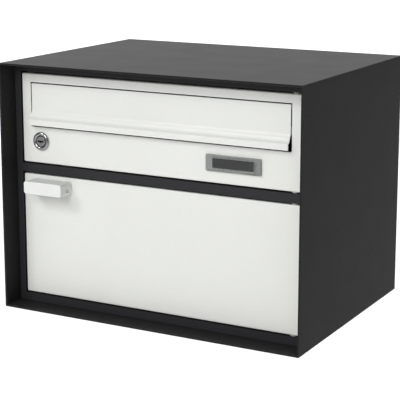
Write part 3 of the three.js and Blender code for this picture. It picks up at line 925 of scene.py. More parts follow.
@dataclass
class Sleeve:
    """The outer sleeve, with its rear panel and the spacers round the wall screws.

    Attributes:
        sheet: The sleeve's thickness.
        corner: Outside radius of its folds.
        edge: Break along its cut edges.
        panel_edge: Break along the rear panel's edges.
        spacer_wall: Thickness of a spacer's wall.
        spacer_bevel: Bevel at a spacer's ends.
    """

    sheet: float = 2.5 * MM
    corner: float = 1.5 * MM
    edge: float = 0.35 * MM
    panel_edge: float = 0.3 * MM
    spacer_wall: float = 3.75 * MM
    spacer_bevel: float = 0.7 * MM

    def build(self) -> None:
        """Builds and dresses the sleeve, the panel and the spacers."""
        self.fold_sleeve()
        dress(ANTHRACITE, self.panel_edge, "rear_panel")
        self.turn_spacers()

    def fold_sleeve(self) -> None:
        """The sheet folded round the four sides."""
        low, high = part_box("outer_shell")
        piece = Bench.block("sleeve", low, high)
        with Bench.editing(piece):
            Bench.pick(piece, Element.FACE, lambda face: abs(face.normal.y) > 0.9)
            bpy.ops.mesh.delete(type="FACE")
        Bench.modify(piece, "SOLIDIFY", thickness=self.sheet, offset=-1.0, use_even_offset=True)
        with Bench.editing(piece, Element.EDGE):
            Bench.pick(piece, Element.EDGE, lambda edge: all(
                high.x - abs(v.co.x) < TINY and high.z - abs(v.co.z) < TINY for v in edge.verts
            ) and abs(edge.verts[0].co.y - edge.verts[1].co.y) > self.sheet)
            bpy.ops.mesh.bevel(offset=self.corner, segments=5, affect="EDGES")
        Bench.soften(piece, self.edge)
        fit_out(piece, Body.BOX, ANTHRACITE, "outer_shell")

    def turn_spacers(self) -> None:
        """The four spacers, one turned and three copied."""
        names = ["left_top", "left_bottom", "right_top", "right_bottom"]
        low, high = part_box("wall_spacer_left_top")
        centre = Vector(((low.x + high.x) / 2, low.y, (low.z + high.z) / 2))
        radius, length, bevel = (high.x - low.x) / 2, high.y - low.y, self.spacer_bevel
        bore = radius - self.spacer_wall
        profile = [
            (bore + bevel, 0), (radius - bevel, 0), (radius, bevel), (radius, length - bevel),
            (radius - bevel, length), (bore + bevel, length), (bore, length - bevel), (bore, bevel),
            (bore + bevel, 0),
        ]
        first = Bench.turned("spacer_left_top", profile, Axis.Y, centre, 48)
        Bench.smooth(first)
        for name in names:
            node = f"wall_spacer_{name}"
            other_low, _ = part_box(node)
            move = Matrix.Translation(other_low - low)
            piece = first if name == names[0] else Bench.copied(first, f"spacer_{name}", move)
            fit_out(piece, Body.BOX, ZINC, node)


@dataclass
class InnerBody:
    """The inner body behind the doors, with what is fixed to its walls.

    Attributes:
        edge: Break along the sheets' edges.
        strike_edge: Break along the lock strike's edges.
        catch_edge: Break along the catch's edges.
        magnet_edge: Break along the magnet's edges.
        buffer_dome: Height of the buffer's rounded face.
        buffer_bevel: Bevel round its back.
    """

    edge: float = 0.3 * MM
    strike_edge: float = 0.2 * MM
    catch_edge: float = 0.6 * MM
    magnet_edge: float = 0.4 * MM
    buffer_dome: float = 1.2 * MM
    buffer_bevel: float = 0.3 * MM

    def build(self) -> None:
        """Dresses the sheets and builds the buffer."""
        dress(
            INNER_COAT, self.edge, "carcass_back", "carcass_side_left", "carcass_side_right",
            "carcass_top", "carcass_floor", "divider",
        )
        dress(ZINC, self.strike_edge, "lock_strike")
        dress(MOULDED, self.catch_edge, "catch_housing")
        dress(FERRITE, self.magnet_edge, "catch_magnet")
        self.turn_buffer()

    def turn_buffer(self) -> None:
        """The rubber buffer, domed towards the door."""
        low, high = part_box("door_buffer")
        centre = Vector(((low.x + high.x) / 2, high.y, (low.z + high.z) / 2))
        radius, length = (high.x - low.x) / 2, high.y - low.y
        dome = [
            (radius * math.sin(a), -length + self.buffer_dome * (1 - math.cos(a)))
            for a in [i * math.pi / 16 for i in range(9)]
        ]
        profile = [*dome, (radius, -self.buffer_bevel), (radius - self.buffer_bevel, 0), (0, 0)]
        piece = Bench.turned("rubber_buffer", profile, Axis.Y, centre, 40)
        Bench.smooth(piece)
        fit_out(piece, Body.BOX, RUBBER, "door_buffer")


@dataclass
class Door:
    """A door folded as a tray with a return round its back.

    Attributes:
        node: The frame node it stands for.
        body: The body it rides on.
        sheet: Its thickness.
        corner: Radius of its four corners.
        fold: Outside radius of its folds.
        lip: Width of the return at the back.
        mouth_corner: Radius of the corners inside it.
        bush_hole: Radius of the holes for its bushes.
        pin_inset: From its right edge to the pins.
        pin_depth: From its face back to the pins.
        edge: Break along its cut edges.
        low: Its lowest corner.
        high: Its highest corner.
    """

    node: str
    body: Body
    sheet: float = 1.5 * MM
    corner: float = 2.0 * MM
    fold: float = 1.6 * MM
    lip: float = 8.0 * MM
    mouth_corner: float = 0.8 * MM
    bush_hole: float = 3.3 * MM
    pin_inset: float = 9.5 * MM
    pin_depth: float = 5.0 * MM
    edge: float = 0.22 * MM
    low: Vector = field(init=False)
    high: Vector = field(init=False)

    def __post_init__(self) -> None:
        """Reads the door's corners from the frame."""
        self.low, self.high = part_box(self.node)

    def build(self) -> None:
        """Builds and dresses the door."""
        piece = Bench.block(self.node.replace("_panel", ""), self.low, self.high)
        Bench.round_depth(piece, self.corner, 6)
        Bench.round_outline(piece, self.low.y, self.fold, 5)
        Bench.round_outline(piece, self.high.y, self.fold, 3)
        Bench.cut(piece, [self.hollow(), self.mouth(), *self.bush_cutters(), *self.openings()])
        Bench.soften(piece, self.edge, 2, 50 * DEGREE)
        fit_out(piece, self.body, WHITE_COAT, self.node)

    def hollow(self) -> Piece:
        """Cuts the room between the front sheet and the return.

        Returns:
            The cutter.
        """
        wall = Vector((self.sheet,) * 3)
        cutter = Bench.block("cutter", self.low + wall, self.high - wall)
        Bench.round_depth(cutter, self.corner - self.sheet, 6)
        return cutter

    def mouth(self) -> Piece:
        """Cuts the opening inside the return.

        Returns:
            The cutter.
        """
        inset = Vector((self.lip, 0, self.lip))
        start = Vector((0, (self.high.y - self.low.y) / 2, 0))
        past = Vector((0, self.sheet, 0))
        cutter = Bench.block("cutter", self.low + inset + start, self.high - inset + past)
        Bench.round_depth(cutter, self.mouth_corner, 6)
        return cutter

    def bush_cutters(self) -> list[Piece]:
        """Drills the bushes' holes in the upper and lower edges.

        Returns:
            The cutters.
        """
        reach = 3 * self.sheet
        x, y = self.high.x - self.pin_inset, self.low.y + self.pin_depth
        levels = (self.low.z, self.high.z)
        return [Bench.drill(self.bush_hole, (x, y, z - reach), 2 * reach, Axis.Z) for z in levels]

    def drill_front(self, radius: float, node: str) -> Piece:
        """Drills through the front sheet in line with another node.

        Args:
            radius: Radius of the hole.
            node: The frame node that it is in line with.

        Returns:
            The cutter.
        """
        past = 2 * self.sheet
        middle = sum(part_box(node), Vector()) / 2
        return Bench.drill(radius, (middle.x, self.low.y - past, middle.z), 2 * past, Axis.Y)

    def openings(self) -> list[Piece]:
        """Cuts what else goes through the door: nothing, on a plain one."""
        return []


@dataclass
class LetterDoor(Door):
    """The upper door, cut for the letter slot and the lock.

    Attributes:
        slot_gap: Between the slot and the flap's top and ends.
        slot_gap_below: Between the slot and the flap's lower edge.
        slot_corner: Radius of the slot's corners.
        lock_hole: Radius of the lock's hole.
    """

    slot_gap: float = 1.6 * MM
    slot_gap_below: float = 2.8 * MM
    slot_corner: float = 0.6 * MM
    lock_hole: float = 9.3 * MM

    def openings(self) -> list[Piece]:
        """Cuts the slot and the lock's hole.

        Returns:
            The cutters.
        """
        flap_low, flap_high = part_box("slot_flap")
        gap, below, past = self.slot_gap, self.slot_gap_below, 2 * self.sheet
        slot = Bench.block(
            "cutter",
            (flap_low.x - gap, self.low.y - past, flap_low.z - below),
            (flap_high.x + gap, self.low.y + past, flap_high.z + gap),
        )
        Bench.round_depth(slot, self.slot_corner, 4)
        return [slot, self.drill_front(self.lock_hole, "lock_housing")]


@dataclass
class ParcelDoor(Door):
    """The lower door, drilled for the handle's two screws.

    Attributes:
        screw_hole: Radius of the screws' holes.
    """

    screw_hole: float = 1.8 * MM

    def openings(self) -> list[Piece]:
        """Drills the screws' holes.

        Returns:
            The cutters.
        """
        return [self.drill_front(self.screw_hole, f"handle_screw_{side}") for side in ("left", "right")]


@dataclass
class SlotFlap:
    """The letter slot's flap, its rod and the two brackets that carry it.

    Attributes:
        sheet: The flap's thickness.
        round: Radius along its upper and lower front edges.
        lip_start: From its top to where its face leaves the door's plane.
        step: Height and reach of the first sweep outwards.
        nose: Height and reach of the second.
        rod_behind: From its face back to the rod, and from its top down to it.
        eye: Outer radius of the eye that holds the rod.
        bore: Radius inside that eye.
        lip_steps: Stretches that the lip's curve is divided into.
        rod_bevel: Bevel at the rod's ends.
        bracket_edge: Break along the brackets' edges.
    """

    sheet: float = 1.8 * MM
    round: float = 0.7 * MM
    lip_start: float = 33.0 * MM
    step: tuple[float, float] = (8.5 * MM, 3.9 * MM)
    nose: tuple[float, float] = (4.0 * MM, 3.6 * MM)
    rod_behind: float = 3.0 * MM
    eye: float = 2.95 * MM
    bore: float = 1.55 * MM
    lip_steps: int = 40
    rod_bevel: float = 0.4 * MM
    bracket_edge: float = 0.25 * MM

    def reach(self, drop: float) -> float:
        """How far the face stands out of the door's plane.

        Args:
            drop: Distance below the flap's top.

        Returns:
            The distance towards the front.
        """
        out = 0.0
        start = self.lip_start
        for height, reach in (self.step, self.nose):
            t = min(max((drop - start) / height, 0.0), 1.0)
            out += reach * t * t * (3 - 2 * t)
            start += height
        return out

    def build(self) -> None:
        """Builds and dresses the flap, the rod and the brackets."""
        self.press_flap()
        self.turn_rod()
        dress(ZINC, self.bracket_edge, "flap_bracket_left", "flap_bracket_right")

    def press_flap(self) -> None:
        """The flap, pressed from one sheet with a rolled eye behind its top."""
        low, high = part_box("slot_flap")
        face = low.y + sum(reach for _, reach in (self.step, self.nose))
        height = high.z - low.z
        drops = [0.0, self.lip_start - MM]
        stretch = height - self.lip_start
        drops += [self.lip_start + stretch * i / self.lip_steps for i in range(self.lip_steps + 1)]
        points = [(low.x, face - self.reach(drop), high.z - drop) for drop in drops]
        piece = Bench.line("flap", points)
        with Bench.editing(piece, Element.VERTEX):
            bpy.ops.mesh.select_all(action="SELECT")
            bpy.ops.mesh.extrude_region_move(TRANSFORM_OT_translate={"value": (high.x - low.x, 0, 0)})
        with Bench.editing(piece):
            bpy.ops.mesh.select_all(action="SELECT")
            bpy.ops.mesh.normals_make_consistent(inside=False)
            mesh = bmesh.from_edit_mesh(piece.data)
            mesh.faces.ensure_lookup_table()
            if mesh.faces[0].normal.y > 0:
                bpy.ops.mesh.flip_normals()
        Bench.modify(piece, "SOLIDIFY", thickness=self.sheet, offset=-1.0, use_even_offset=True)
        Bench.square(piece)
        rod_y, rod_z = face + self.rod_behind, high.z - self.rod_behind
        length, bore, outside = high.x - low.x, self.bore, self.eye
        ring = [(bore, 0), (outside, 0), (outside, length), (bore, length), (bore, 0)]
        eye = Bench.turned("eye", ring, Axis.X, (low.x, rod_y, rod_z), 40)
        bore = Bench.drill(self.bore, (low.x - PAST, rod_y, rod_z), length + 2 * PAST, Axis.X)
        Bench.cut(piece, [eye], Joint.JOIN)
        Bench.cut(piece, [bore])
        Bench.modify(
            piece, "BEVEL", width=self.round, segments=3, limit_method="ANGLE", angle_limit=60 * DEGREE,
            use_clamp_overlap=True,
        )
        Bench.square(piece)
        Bench.smooth(piece, 40 * DEGREE)
        fit_out(piece, Body.SLOT_FLAP, WHITE_COAT, "slot_flap")

    def turn_rod(self) -> None:
        """The rod that the flap turns on, bevelled at both ends."""
        low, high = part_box("flap_rod")
        radius, bevel = (high.y - low.y) / 2, self.rod_bevel
        length = high.x - low.x
        profile = [
            (0, 0), (radius - bevel, 0), (radius, bevel), (radius, length - bevel),
            (radius - bevel, length), (0, length),
        ]
        centre = (low.x, (low.y + high.y) / 2, (low.z + high.z) / 2)
        piece = Bench.turned("flap_hinge_rod", profile, Axis.X, centre, 32)
        Bench.smooth(piece)
        fit_out(piece, Body.LETTER_DOOR, ZINC, "flap_rod")


@dataclass
class CamLock:
    """The cam lock: ring and threaded barrel, nut, plug with its keyway, cam and cam nut.

    Attributes:
        barrel: Radius of the barrel.
        bore: Radius of the plug's bore.
        ring_height: Height of the ring over the door.
        ring_edge: Straight height of the ring's edge.
        rest_gap: Between the ring and the door.
        thread: Pitch and depth of the barrel's thread.
        plug: Radius of the plug.
        plug_bevel: Bevel round the plug's face.
        keyway: Length and width of the keyway, and its depth behind the door's face.
        tail: Radius of the plug's tail, which carries the cam.
        tail_bevel: Bevel at the tail's end.
        tail_fit: Round the tail, inside the cam's nut.
        cam_edge: Break along the cam's edges.
        x: The lock's axis, across.
        z: The lock's axis, upward.
        front: The ring's front.
        rear: The barrel's back.
        door: The door's face.
        ring: Radius of the ring.
    """

    barrel: float = 9.0 * MM
    bore: float = 6.95 * MM
    ring_height: float = 3.0 * MM
    ring_edge: float = 0.9 * MM
    rest_gap: float = 0.3 * MM
    thread: tuple[float, float] = (1.0 * MM, 0.45 * MM)
    plug: float = 6.6 * MM
    plug_bevel: float = 0.6 * MM
    keyway: tuple[float, float, float] = (9.0 * MM, 2.0 * MM, 7.0 * MM)
    tail: float = 3.2 * MM
    tail_bevel: float = 0.4 * MM
    tail_fit: float = 0.35 * MM
    cam_edge: float = 0.25 * MM
    x: float = field(init=False)
    z: float = field(init=False)
    front: float = field(init=False)
    rear: float = field(init=False)
    door: float = field(init=False)
    ring: float = field(init=False)

    def __post_init__(self) -> None:
        """Reads the lock's place from the frame."""
        low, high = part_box("lock_housing")
        self.x, self.z = (low.x + high.x) / 2, (low.z + high.z) / 2
        self.front, self.rear = low.y, high.y
        self.door = self.front + self.ring_height + self.rest_gap
        self.ring = (high.x - low.x) / 2

    def build(self) -> None:
        """Builds and dresses the lock."""
        self.turn_ring()
        self.turn_plug()
        self.make_nut("lock_nut", "barrel_nut", Body.LETTER_DOOR, self.barrel + self.rest_gap)
        self.make_nut("cam_nut", "cam_fixing_nut", Body.LOCK_ROTOR, self.tail + self.tail_fit)
        dress(ZINC, self.cam_edge, "lock_cam")

    def turn_ring(self) -> None:
        """The chromed ring and the threaded barrel behind it, in one."""
        ring, bore = self.ring, self.bore
        back = self.door - self.rest_gap
        half, height = (ring - bore) / 2, self.ring_height - self.ring_edge
        crest = [
            (bore + half * (1 + math.cos(a)), back - self.ring_edge - height * math.sin(a))
            for a in [math.pi * i / 18 for i in range(17)]
        ]
        pitch, depth = self.thread
        turns = int((self.rear - self.door - 2 * pitch) / pitch)
        start = self.door + pitch
        thread = [(self.barrel, start - pitch)]
        for i in range(turns):
            crown = start + i * pitch
            thread += [(self.barrel, crown), (self.barrel - depth, crown + pitch / 2)]
        thread += [(self.barrel, start + turns * pitch), (self.barrel - depth, self.rear)]
        barrel = [(bore, self.rear), *reversed(thread), (self.barrel, back)]
        profile = [*crest, *barrel, (ring, back), crest[0]]
        piece = Bench.turned("lock_ring", profile, Axis.Y, (self.x, 0, self.z), 72)
        Bench.soften(piece, 0.12 * MM, 2, 50 * DEGREE)
        fit_out(piece, Body.LETTER_DOOR, CHROME, "lock_housing")

    def turn_plug(self) -> None:
        """The plug, cut for the key, with a threaded tail for the cam."""
        low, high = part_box("lock_plug")
        tail, tip, shoulder = self.tail, self.tail_bevel, self.rear + self.rest_gap
        face, bevel = low.y, self.plug_bevel
        profile = [
            (0, face), (self.plug - bevel, face), (self.plug, face + bevel), (self.plug, shoulder),
            (tail, shoulder), (tail, high.y - tip), (tail - tip, high.y), (0, high.y),
        ]
        piece = Bench.turned("lock_core", profile, Axis.Y, (self.x, 0, self.z), 64)
        length, width, depth = self.keyway
        slot = Bench.block(
            "cutter", (self.x - length / 2, face - PAST, self.z - width / 2),
            (self.x + length / 2, self.door + depth, self.z + width / 2),
        )
        ward = Bench.block(
            "cutter", (self.x - length * 0.12, face - PAST, self.z - width * 0.9),
            (self.x + length * 0.12, self.door + depth, self.z + width * 0.2),
        )
        Bench.cut(piece, [slot, ward])
        Bench.soften(piece, 0.15 * MM, 2, 40 * DEGREE)
        fit_out(piece, Body.LOCK_ROTOR, CHROME, "lock_plug")

    def make_nut(self, node: str, name: str, body: Body, bore: float) -> None:
        """A six-sided nut with its corners turned off.

        Args:
            node: The frame node it stands for.
            name: The piece's name.
            body: The body it rides on.
            bore: Radius of its hole.
        """
        low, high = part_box(node)
        corners = max(high.x - low.x, high.z - low.z) / 2
        outline = [
            (self.x + corners * math.sin(a), low.y, self.z + corners * math.cos(a))
            for a in [i * math.pi / 3 for i in range(6)]
        ]
        piece = Bench.bar(name, outline, (0, high.y - low.y, 0))
        flats = corners * math.cos(math.pi / 6)
        cone = (high.y - low.y) * 0.22
        wide = flats + 2 * cone
        envelope = [
            (0, low.y - TINY), (flats, low.y - TINY), (wide, low.y + cone),
            (wide, high.y - cone), (flats, high.y + TINY), (0, high.y + TINY),
        ]
        Bench.cut(piece, [Bench.turned("cutter", envelope, Axis.Y, (self.x, 0, self.z), 48)], Joint.COMMON)
        length = high.y - low.y + 2 * PAST
        Bench.cut(piece, [Bench.drill(bore, (self.x, low.y - PAST, self.z), length, Axis.Y)])
        Bench.soften(piece, 0.2 * MM, 2, 30 * DEGREE)
        fit_out(piece, body, ZINC, node)


@dataclass
class NamePlate:
    """The name plate: a base on the door, a dark card and a clear cover that snaps on.

    Attributes:
        window: Width and height of the window.
        bead: Width of the raised line round the window.
        recess: Depth of the window behind that line.
        notch: Width and height of a pry notch.
        notch_spacing: Between two notches.
        notch_floor: Clear plastic behind a notch.
        notch_rise: Of a notch over the window's foot, through the raised line.
        rim: Straight edge under the cover's slope.
        base_corner: Radius of the base's corners.
        base_edge: Break along the base's edges.
        card_gap: Round the card, in its pocket.
        card_rest: Behind the card, in its pocket.
        card_corner: Radius of the card's corners.
        card_edge: Break along the card's edges.
        cover_edge: Break along the cover's edges.
    """

    window: tuple[float, float] = (55.0 * MM, 12.6 * MM)
    bead: float = 1.0 * MM
    recess: float = 1.2 * MM
    notch: tuple[float, float] = (4.2 * MM, 1.7 * MM)
    notch_spacing: float = 9.4 * MM
    notch_floor: float = 0.8 * MM
    notch_rise: float = 0.6 * MM
    rim: float = 0.6 * MM
    base_corner: float = 0.8 * MM
    base_edge: float = 0.15 * MM
    card_gap: float = 0.4 * MM
    card_rest: float = 0.3 * MM
    card_corner: float = 0.8 * MM
    card_edge: float = 0.08 * MM
    cover_edge: float = 0.18 * MM

    def build(self) -> None:
        """Builds and dresses the base, the card and the cover."""
        self.mould_base()
        self.cut_card()
        self.mould_cover()

    def mould_base(self) -> None:
        """The base, with a pocket for the card."""
        low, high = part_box("name_plate_base")
        card_low, card_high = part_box("name_label")
        piece = Bench.block("plate_base", low, high)
        gap = self.card_gap
        pocket = Bench.block(
            "cutter", (card_low.x - gap, low.y - PAST, card_low.z - gap),
            (card_high.x + gap, card_high.y + self.card_rest, card_high.z + gap),
        )
        Bench.round_depth(piece, self.base_corner, 4)
        Bench.cut(piece, [pocket])
        Bench.soften(piece, self.base_edge)
        fit_out(piece, Body.LETTER_DOOR, CLEAR, "name_plate_base")

    def cut_card(self) -> None:
        """The blank card behind the window, with rounded corners."""
        low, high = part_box("name_label")
        piece = Bench.block("label_card", low, high)
        Bench.round_depth(piece, self.card_corner, 5)
        Bench.soften(piece, self.card_edge)
        fit_out(piece, Body.LETTER_DOOR, CARD, "name_label")

    def mould_cover(self) -> None:
        """The clear cover: a slope all round, a raised line and a sunk window."""
        low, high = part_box("name_plate_cover")
        middle = (low + high) / 2
        piece = Bench.block("clear_cover", low, high)
        window_width, window_height = self.window
        rise = high.y - self.rim - low.y
        with Bench.editing(piece):
            Bench.pick(piece, Element.FACE, lambda face: face.normal.y < -0.9)
            bpy.ops.transform.translate(value=(0, rise, 0))
            bpy.ops.mesh.extrude_region_move(TRANSFORM_OT_translate={"value": (0, -rise, 0)})
            across = (window_width + 2 * self.bead) / (high.x - low.x)
            upward = (window_height + 2 * self.bead) / (high.z - low.z)
            centre = (middle.x, low.y, middle.z)
            bpy.ops.transform.resize(value=(across, 1, upward), center_override=centre)
            bpy.ops.mesh.inset(thickness=self.bead)
            bpy.ops.transform.translate(value=(0, self.recess, 0))
        width, height = self.notch
        foot = middle.z - window_height / 2
        notches = [
            Bench.block(
                "cutter", (middle.x + shift - width / 2, low.y - PAST, foot - height),
                (middle.x + shift + width / 2, high.y - self.notch_floor, foot + self.notch_rise),
            )
            for shift in (-self.notch_spacing, 0.0, self.notch_spacing)
        ]
        Bench.cut(piece, notches)
        Bench.soften(piece, self.cover_edge, 3, 20 * DEGREE)
        fit_out(piece, Body.NAME_PLATE_COVER, CLEAR, "name_plate_cover")


@dataclass
class PullHandle:
    """The parcel door's pull: a moulded hood, open underneath, on two screws.

    Attributes:
        wall: Its thickness.
        corner: Radius of the front plate's corners.
        rim: Rounding along its front edges.
        hole: Radius of the opening in each cheek.
        hole_back: From the door to that opening.
        hole_drop: Of that opening below the middle.
        door_gap: Between the handle and the door.
        boss: Radius and length of a screw boss.
        boss_end: Solid end of a boss.
        boss_bevel: Bevel round a boss's end.
        boss_short: From a boss's rear end to the handle's rear.
        inner_round: Rounding inside the hood.
        edge: Break along the hood's edges.
        screw: Radius of a screw, of its head and height of its head.
        screw_fit: Round a screw, inside its boss.
        screw_slot: Length, width and depth of the slot in its head.
        screw_thread: Pitch and depth of its thread.
        screw_point: Height of its blunt point, and its radius as a share of the screw's.
        dome: Share of the head's height that is domed.
    """

    wall: float = 2.4 * MM
    corner: float = 3.5 * MM
    rim: float = 0.9 * MM
    hole: float = 3.2 * MM
    hole_back: float = 9.0 * MM
    hole_drop: float = 1.5 * MM
    door_gap: float = 0.3 * MM
    boss: tuple[float, float] = (3.4 * MM, 11.0 * MM)
    boss_end: float = 1.5 * MM
    boss_bevel: float = 0.4 * MM
    boss_short: float = 0.5 * MM
    inner_round: float = 1.0 * MM
    edge: float = 0.3 * MM
    screw: tuple[float, float, float] = (1.5 * MM, 3.2 * MM, 2.0 * MM)
    screw_fit: float = 0.3 * MM
    screw_slot: tuple[float, float, float] = (4.0 * MM, 0.8 * MM, 0.9 * MM)
    screw_thread: tuple[float, float] = (0.8 * MM, 0.35 * MM)
    screw_point: tuple[float, float] = (0.3 * MM, 0.4)
    dome: float = 0.75

    def build(self) -> None:
        """Builds and dresses the hood and its screws."""
        self.mould_hood()
        self.turn_screws()

    def mould_hood(self) -> None:
        """The hood with its cheeks, openings and bosses."""
        low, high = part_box("door_handle")
        middle = (low + high) / 2
        piece = Bench.block("pull_handle", low, high)
        Bench.round_depth(piece, self.corner, 8)
        Bench.round_outline(piece, low.y, self.rim, 5)
        inside = Bench.block(
            "cutter",
            (low.x + self.wall, low.y + self.wall, low.z - PAST),
            (high.x - self.wall, high.y - self.wall, high.z - self.wall),
        )
        with Bench.editing(inside, Element.EDGE):
            Bench.pick(inside, Element.EDGE, lambda edge: all(v.co.z > low.z for v in edge.verts))
            bpy.ops.mesh.bevel(offset=self.inner_round, segments=4, affect="EDGES")
        door = high.y + self.door_gap
        hole = Bench.drill(
            self.hole, (low.x - PAST, door - self.hole_back, middle.z - self.hole_drop),
            high.x - low.x + 2 * PAST, Axis.X,
        )
        Bench.cut(piece, [inside, hole])
        radius, length = self.boss
        bevel, rear = self.boss_bevel, -self.boss_short
        profile = [
            (0, -length), (radius - bevel, -length), (radius, bevel - length), (radius, rear), (0, rear),
        ]
        for side in ("left", "right"):
            screw = sum(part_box(f"handle_screw_{side}"), Vector()) / 2
            post = Bench.turned("boss", profile, Axis.Y, (screw.x, high.y, screw.z), 40)
            start = (screw.x, high.y - length + self.boss_end, screw.z)
            Bench.cut(piece, [post], Joint.JOIN)
            Bench.cut(piece, [Bench.drill(self.screw[0] + self.screw_fit, start, length, Axis.Y)])
        Bench.soften(piece, self.edge, 3, 50 * DEGREE)
        fit_out(piece, Body.PARCEL_DOOR, MOULDED, "door_handle")

    def turn_screws(self) -> None:
        """The two screws, one turned and slotted, the other copied."""
        low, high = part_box("handle_screw_left")
        other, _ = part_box("handle_screw_right")
        shank, head, height = self.screw
        pitch, depth = self.screw_thread
        point, share = self.screw_point
        top, tip = high.y, low.y
        seat, dome = top - height, height * self.dome
        turns = int((seat - tip - 2 * pitch) / pitch)
        thread = []
        for i in range(turns):
            start = tip + pitch + i * pitch
            thread += [(shank - depth, start), (shank, start + pitch / 2)]
        angles = [i * math.pi / 16 for i in range(8)]
        crown = [(head * math.cos(a), top - dome + dome * math.sin(a)) for a in angles]
        profile = [
            (0, tip), (shank * share, tip + point), *thread, (shank - depth, seat - pitch),
            (shank, seat), (head, seat), *crown, (0, top),
        ]
        centre = ((low.x + high.x) / 2, 0, (low.z + high.z) / 2)
        first = Bench.turned("handle_fixing_left", profile, Axis.Y, centre, 32)
        across, upward, depth = self.screw_slot
        Bench.cut(first, [Bench.block(
            "cutter", (centre[0] - across / 2, top - depth, centre[2] - upward / 2),
            (centre[0] + across / 2, top + PAST, centre[2] + upward / 2),
        )])
        Bench.smooth(first)
        second = Bench.copied(first, "handle_fixing_right", Matrix.Translation((other.x - low.x, 0, 0)))
        fit_out(first, Body.PARCEL_DOOR, ZINC, "handle_screw_left")
        fit_out(second, Body.PARCEL_DOOR, ZINC, "handle_screw_right")


@dataclass
class Hinges:
    """The nylon bushes in the doors' edges and the steel pins that run in them.

    Attributes:
        bore: Radius inside a bush.
        barrel: Radius of its barrel.
        rim_height: Height of its rim.
        bevel: Bevel on its edges.
        pin: Radius of a pin.
        pin_bevel: Bevel on a pin's edges.
        head_height: Height of an end pin's head.
        collar_inset: From the divider's outside to the middle pin's collar.
    """

    bore: float = 1.9 * MM
    barrel: float = 3.0 * MM
    rim_height: float = 1.3 * MM
    bevel: float = 0.25 * MM
    pin: float = 1.5 * MM
    pin_bevel: float = 0.35 * MM
    head_height: float = 1.4 * MM
    collar_inset: float = 1.5 * MM

    def build(self) -> None:
        """Builds and dresses the bushes and the pins."""
        self.turn_bushes()
        self.turn_pins()

    def turn_bushes(self) -> None:
        """Four bushes: one turned, the others copied or turned over."""
        first_node = "letter_hinge_bush_top"
        low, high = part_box(first_node)
        rim = (high.x - low.x) / 2
        centre = Vector(((low.x + high.x) / 2, (low.y + high.y) / 2, high.z))
        length, b = high.z - low.z, self.bevel
        bore, barrel, rise = self.bore, self.barrel, self.rim_height
        profile = [
            (bore + b, 0), (rim - b, 0), (rim, -b), (rim, b - rise), (rim - b, -rise), (barrel, -rise),
            (barrel, b - length), (barrel - b, -length), (bore, -length), (bore, -b), (bore + b, 0),
        ]
        first = Bench.turned("bush_letter_top", profile, Axis.Z, centre, 48)
        Bench.smooth(first)
        places = {
            "bush_letter_top": (first_node, Body.LETTER_DOOR, True),
            "bush_letter_bottom": ("letter_hinge_bush_bottom", Body.LETTER_DOOR, False),
            "bush_parcel_top": ("parcel_hinge_bush_top", Body.PARCEL_DOOR, True),
            "bush_parcel_bottom": ("parcel_hinge_bush_bottom", Body.PARCEL_DOOR, False),
        }
        for name, (node, body, upright) in places.items():
            node_low, node_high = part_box(node)
            matrix = Matrix.Translation((0, 0, node_high.z - high.z))
            if not upright:
                matrix = Matrix.Translation((0, 0, node_low.z + high.z)) @ Matrix.Scale(-1, 4, Axis.Z.unit)
            piece = first if node == first_node else Bench.copied(first, name, matrix)
            fit_out(piece, body, NYLON, node)

    def turn_pins(self) -> None:
        """The end pins with their heads, and the middle pin with its collar."""
        low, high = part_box("hinge_pin_top")
        head, bevel, seat = (high.x - low.x) / 2, self.pin_bevel, high.z - self.head_height
        x, y = (low.x + high.x) / 2, (low.y + high.y) / 2
        profile = [
            (0, low.z), (self.pin - bevel, low.z), (self.pin, low.z + bevel), (self.pin, seat),
            (head - bevel, seat), (head, seat + bevel), (head, high.z - bevel),
            (head - bevel, high.z), (0, high.z),
        ]
        top = Bench.turned("pin_top", profile, Axis.Z, (x, y, 0), 40)
        Bench.smooth(top)
        bottom = Bench.copied(top, "pin_bottom", Matrix.Scale(-1, 4, Axis.Z.unit))
        low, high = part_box("hinge_pin_middle")
        divider_low, divider_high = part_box("divider")
        foot, crown = divider_low.z + self.collar_inset, divider_high.z - self.collar_inset
        profile = [
            (0, low.z), (self.pin - bevel, low.z), (self.pin, low.z + bevel), (self.pin, foot),
            (head - bevel, foot), (head, foot + bevel), (head, crown - bevel), (head - bevel, crown),
            (self.pin, crown), (self.pin, high.z - bevel), (self.pin - bevel, high.z), (0, high.z),
        ]
        middle = Bench.turned("pin_middle", profile, Axis.Z, (x, y, 0), 40)
        Bench.smooth(middle)
        fit_out(top, Body.BOX, ZINC, "hinge_pin_top")
        fit_out(middle, Body.BOX, ZINC, "hinge_pin_middle")
        fit_out(bottom, Body.BOX, ZINC, "hinge_pin_bottom")


@dataclass(frozen=True)
class Softbox:
    """A rectangular soft light.

    Attributes:
        name: Its name.
        place: Its middle, from the middle of the box.
        aim: Where it points, from the middle of the box.
        size: Its width and height.
        power: Its power, in watts.
    """

    name: str
    place: Point
    aim: Point
    size: tuple[float, float]
    power: float

    def hang(self, middle: Vector) -> None:
        """Hangs the light.

        Args:
            middle: The middle of the box.
        """
        data = bpy.data.lights.new(self.name, "AREA")
        data.shape = "RECTANGLE"
        data.size, data.size_y = self.size
        data.energy = self.power
        lamp = bpy.data.objects.new(self.name, data)
        lamp.location = middle + Vector(self.place)
        lamp.rotation_euler = (Vector(self.aim) - Vector(self.place)).to_track_quat("-Z", "Y").to_euler()
        bpy.context.scene.collection.objects.link(lamp)


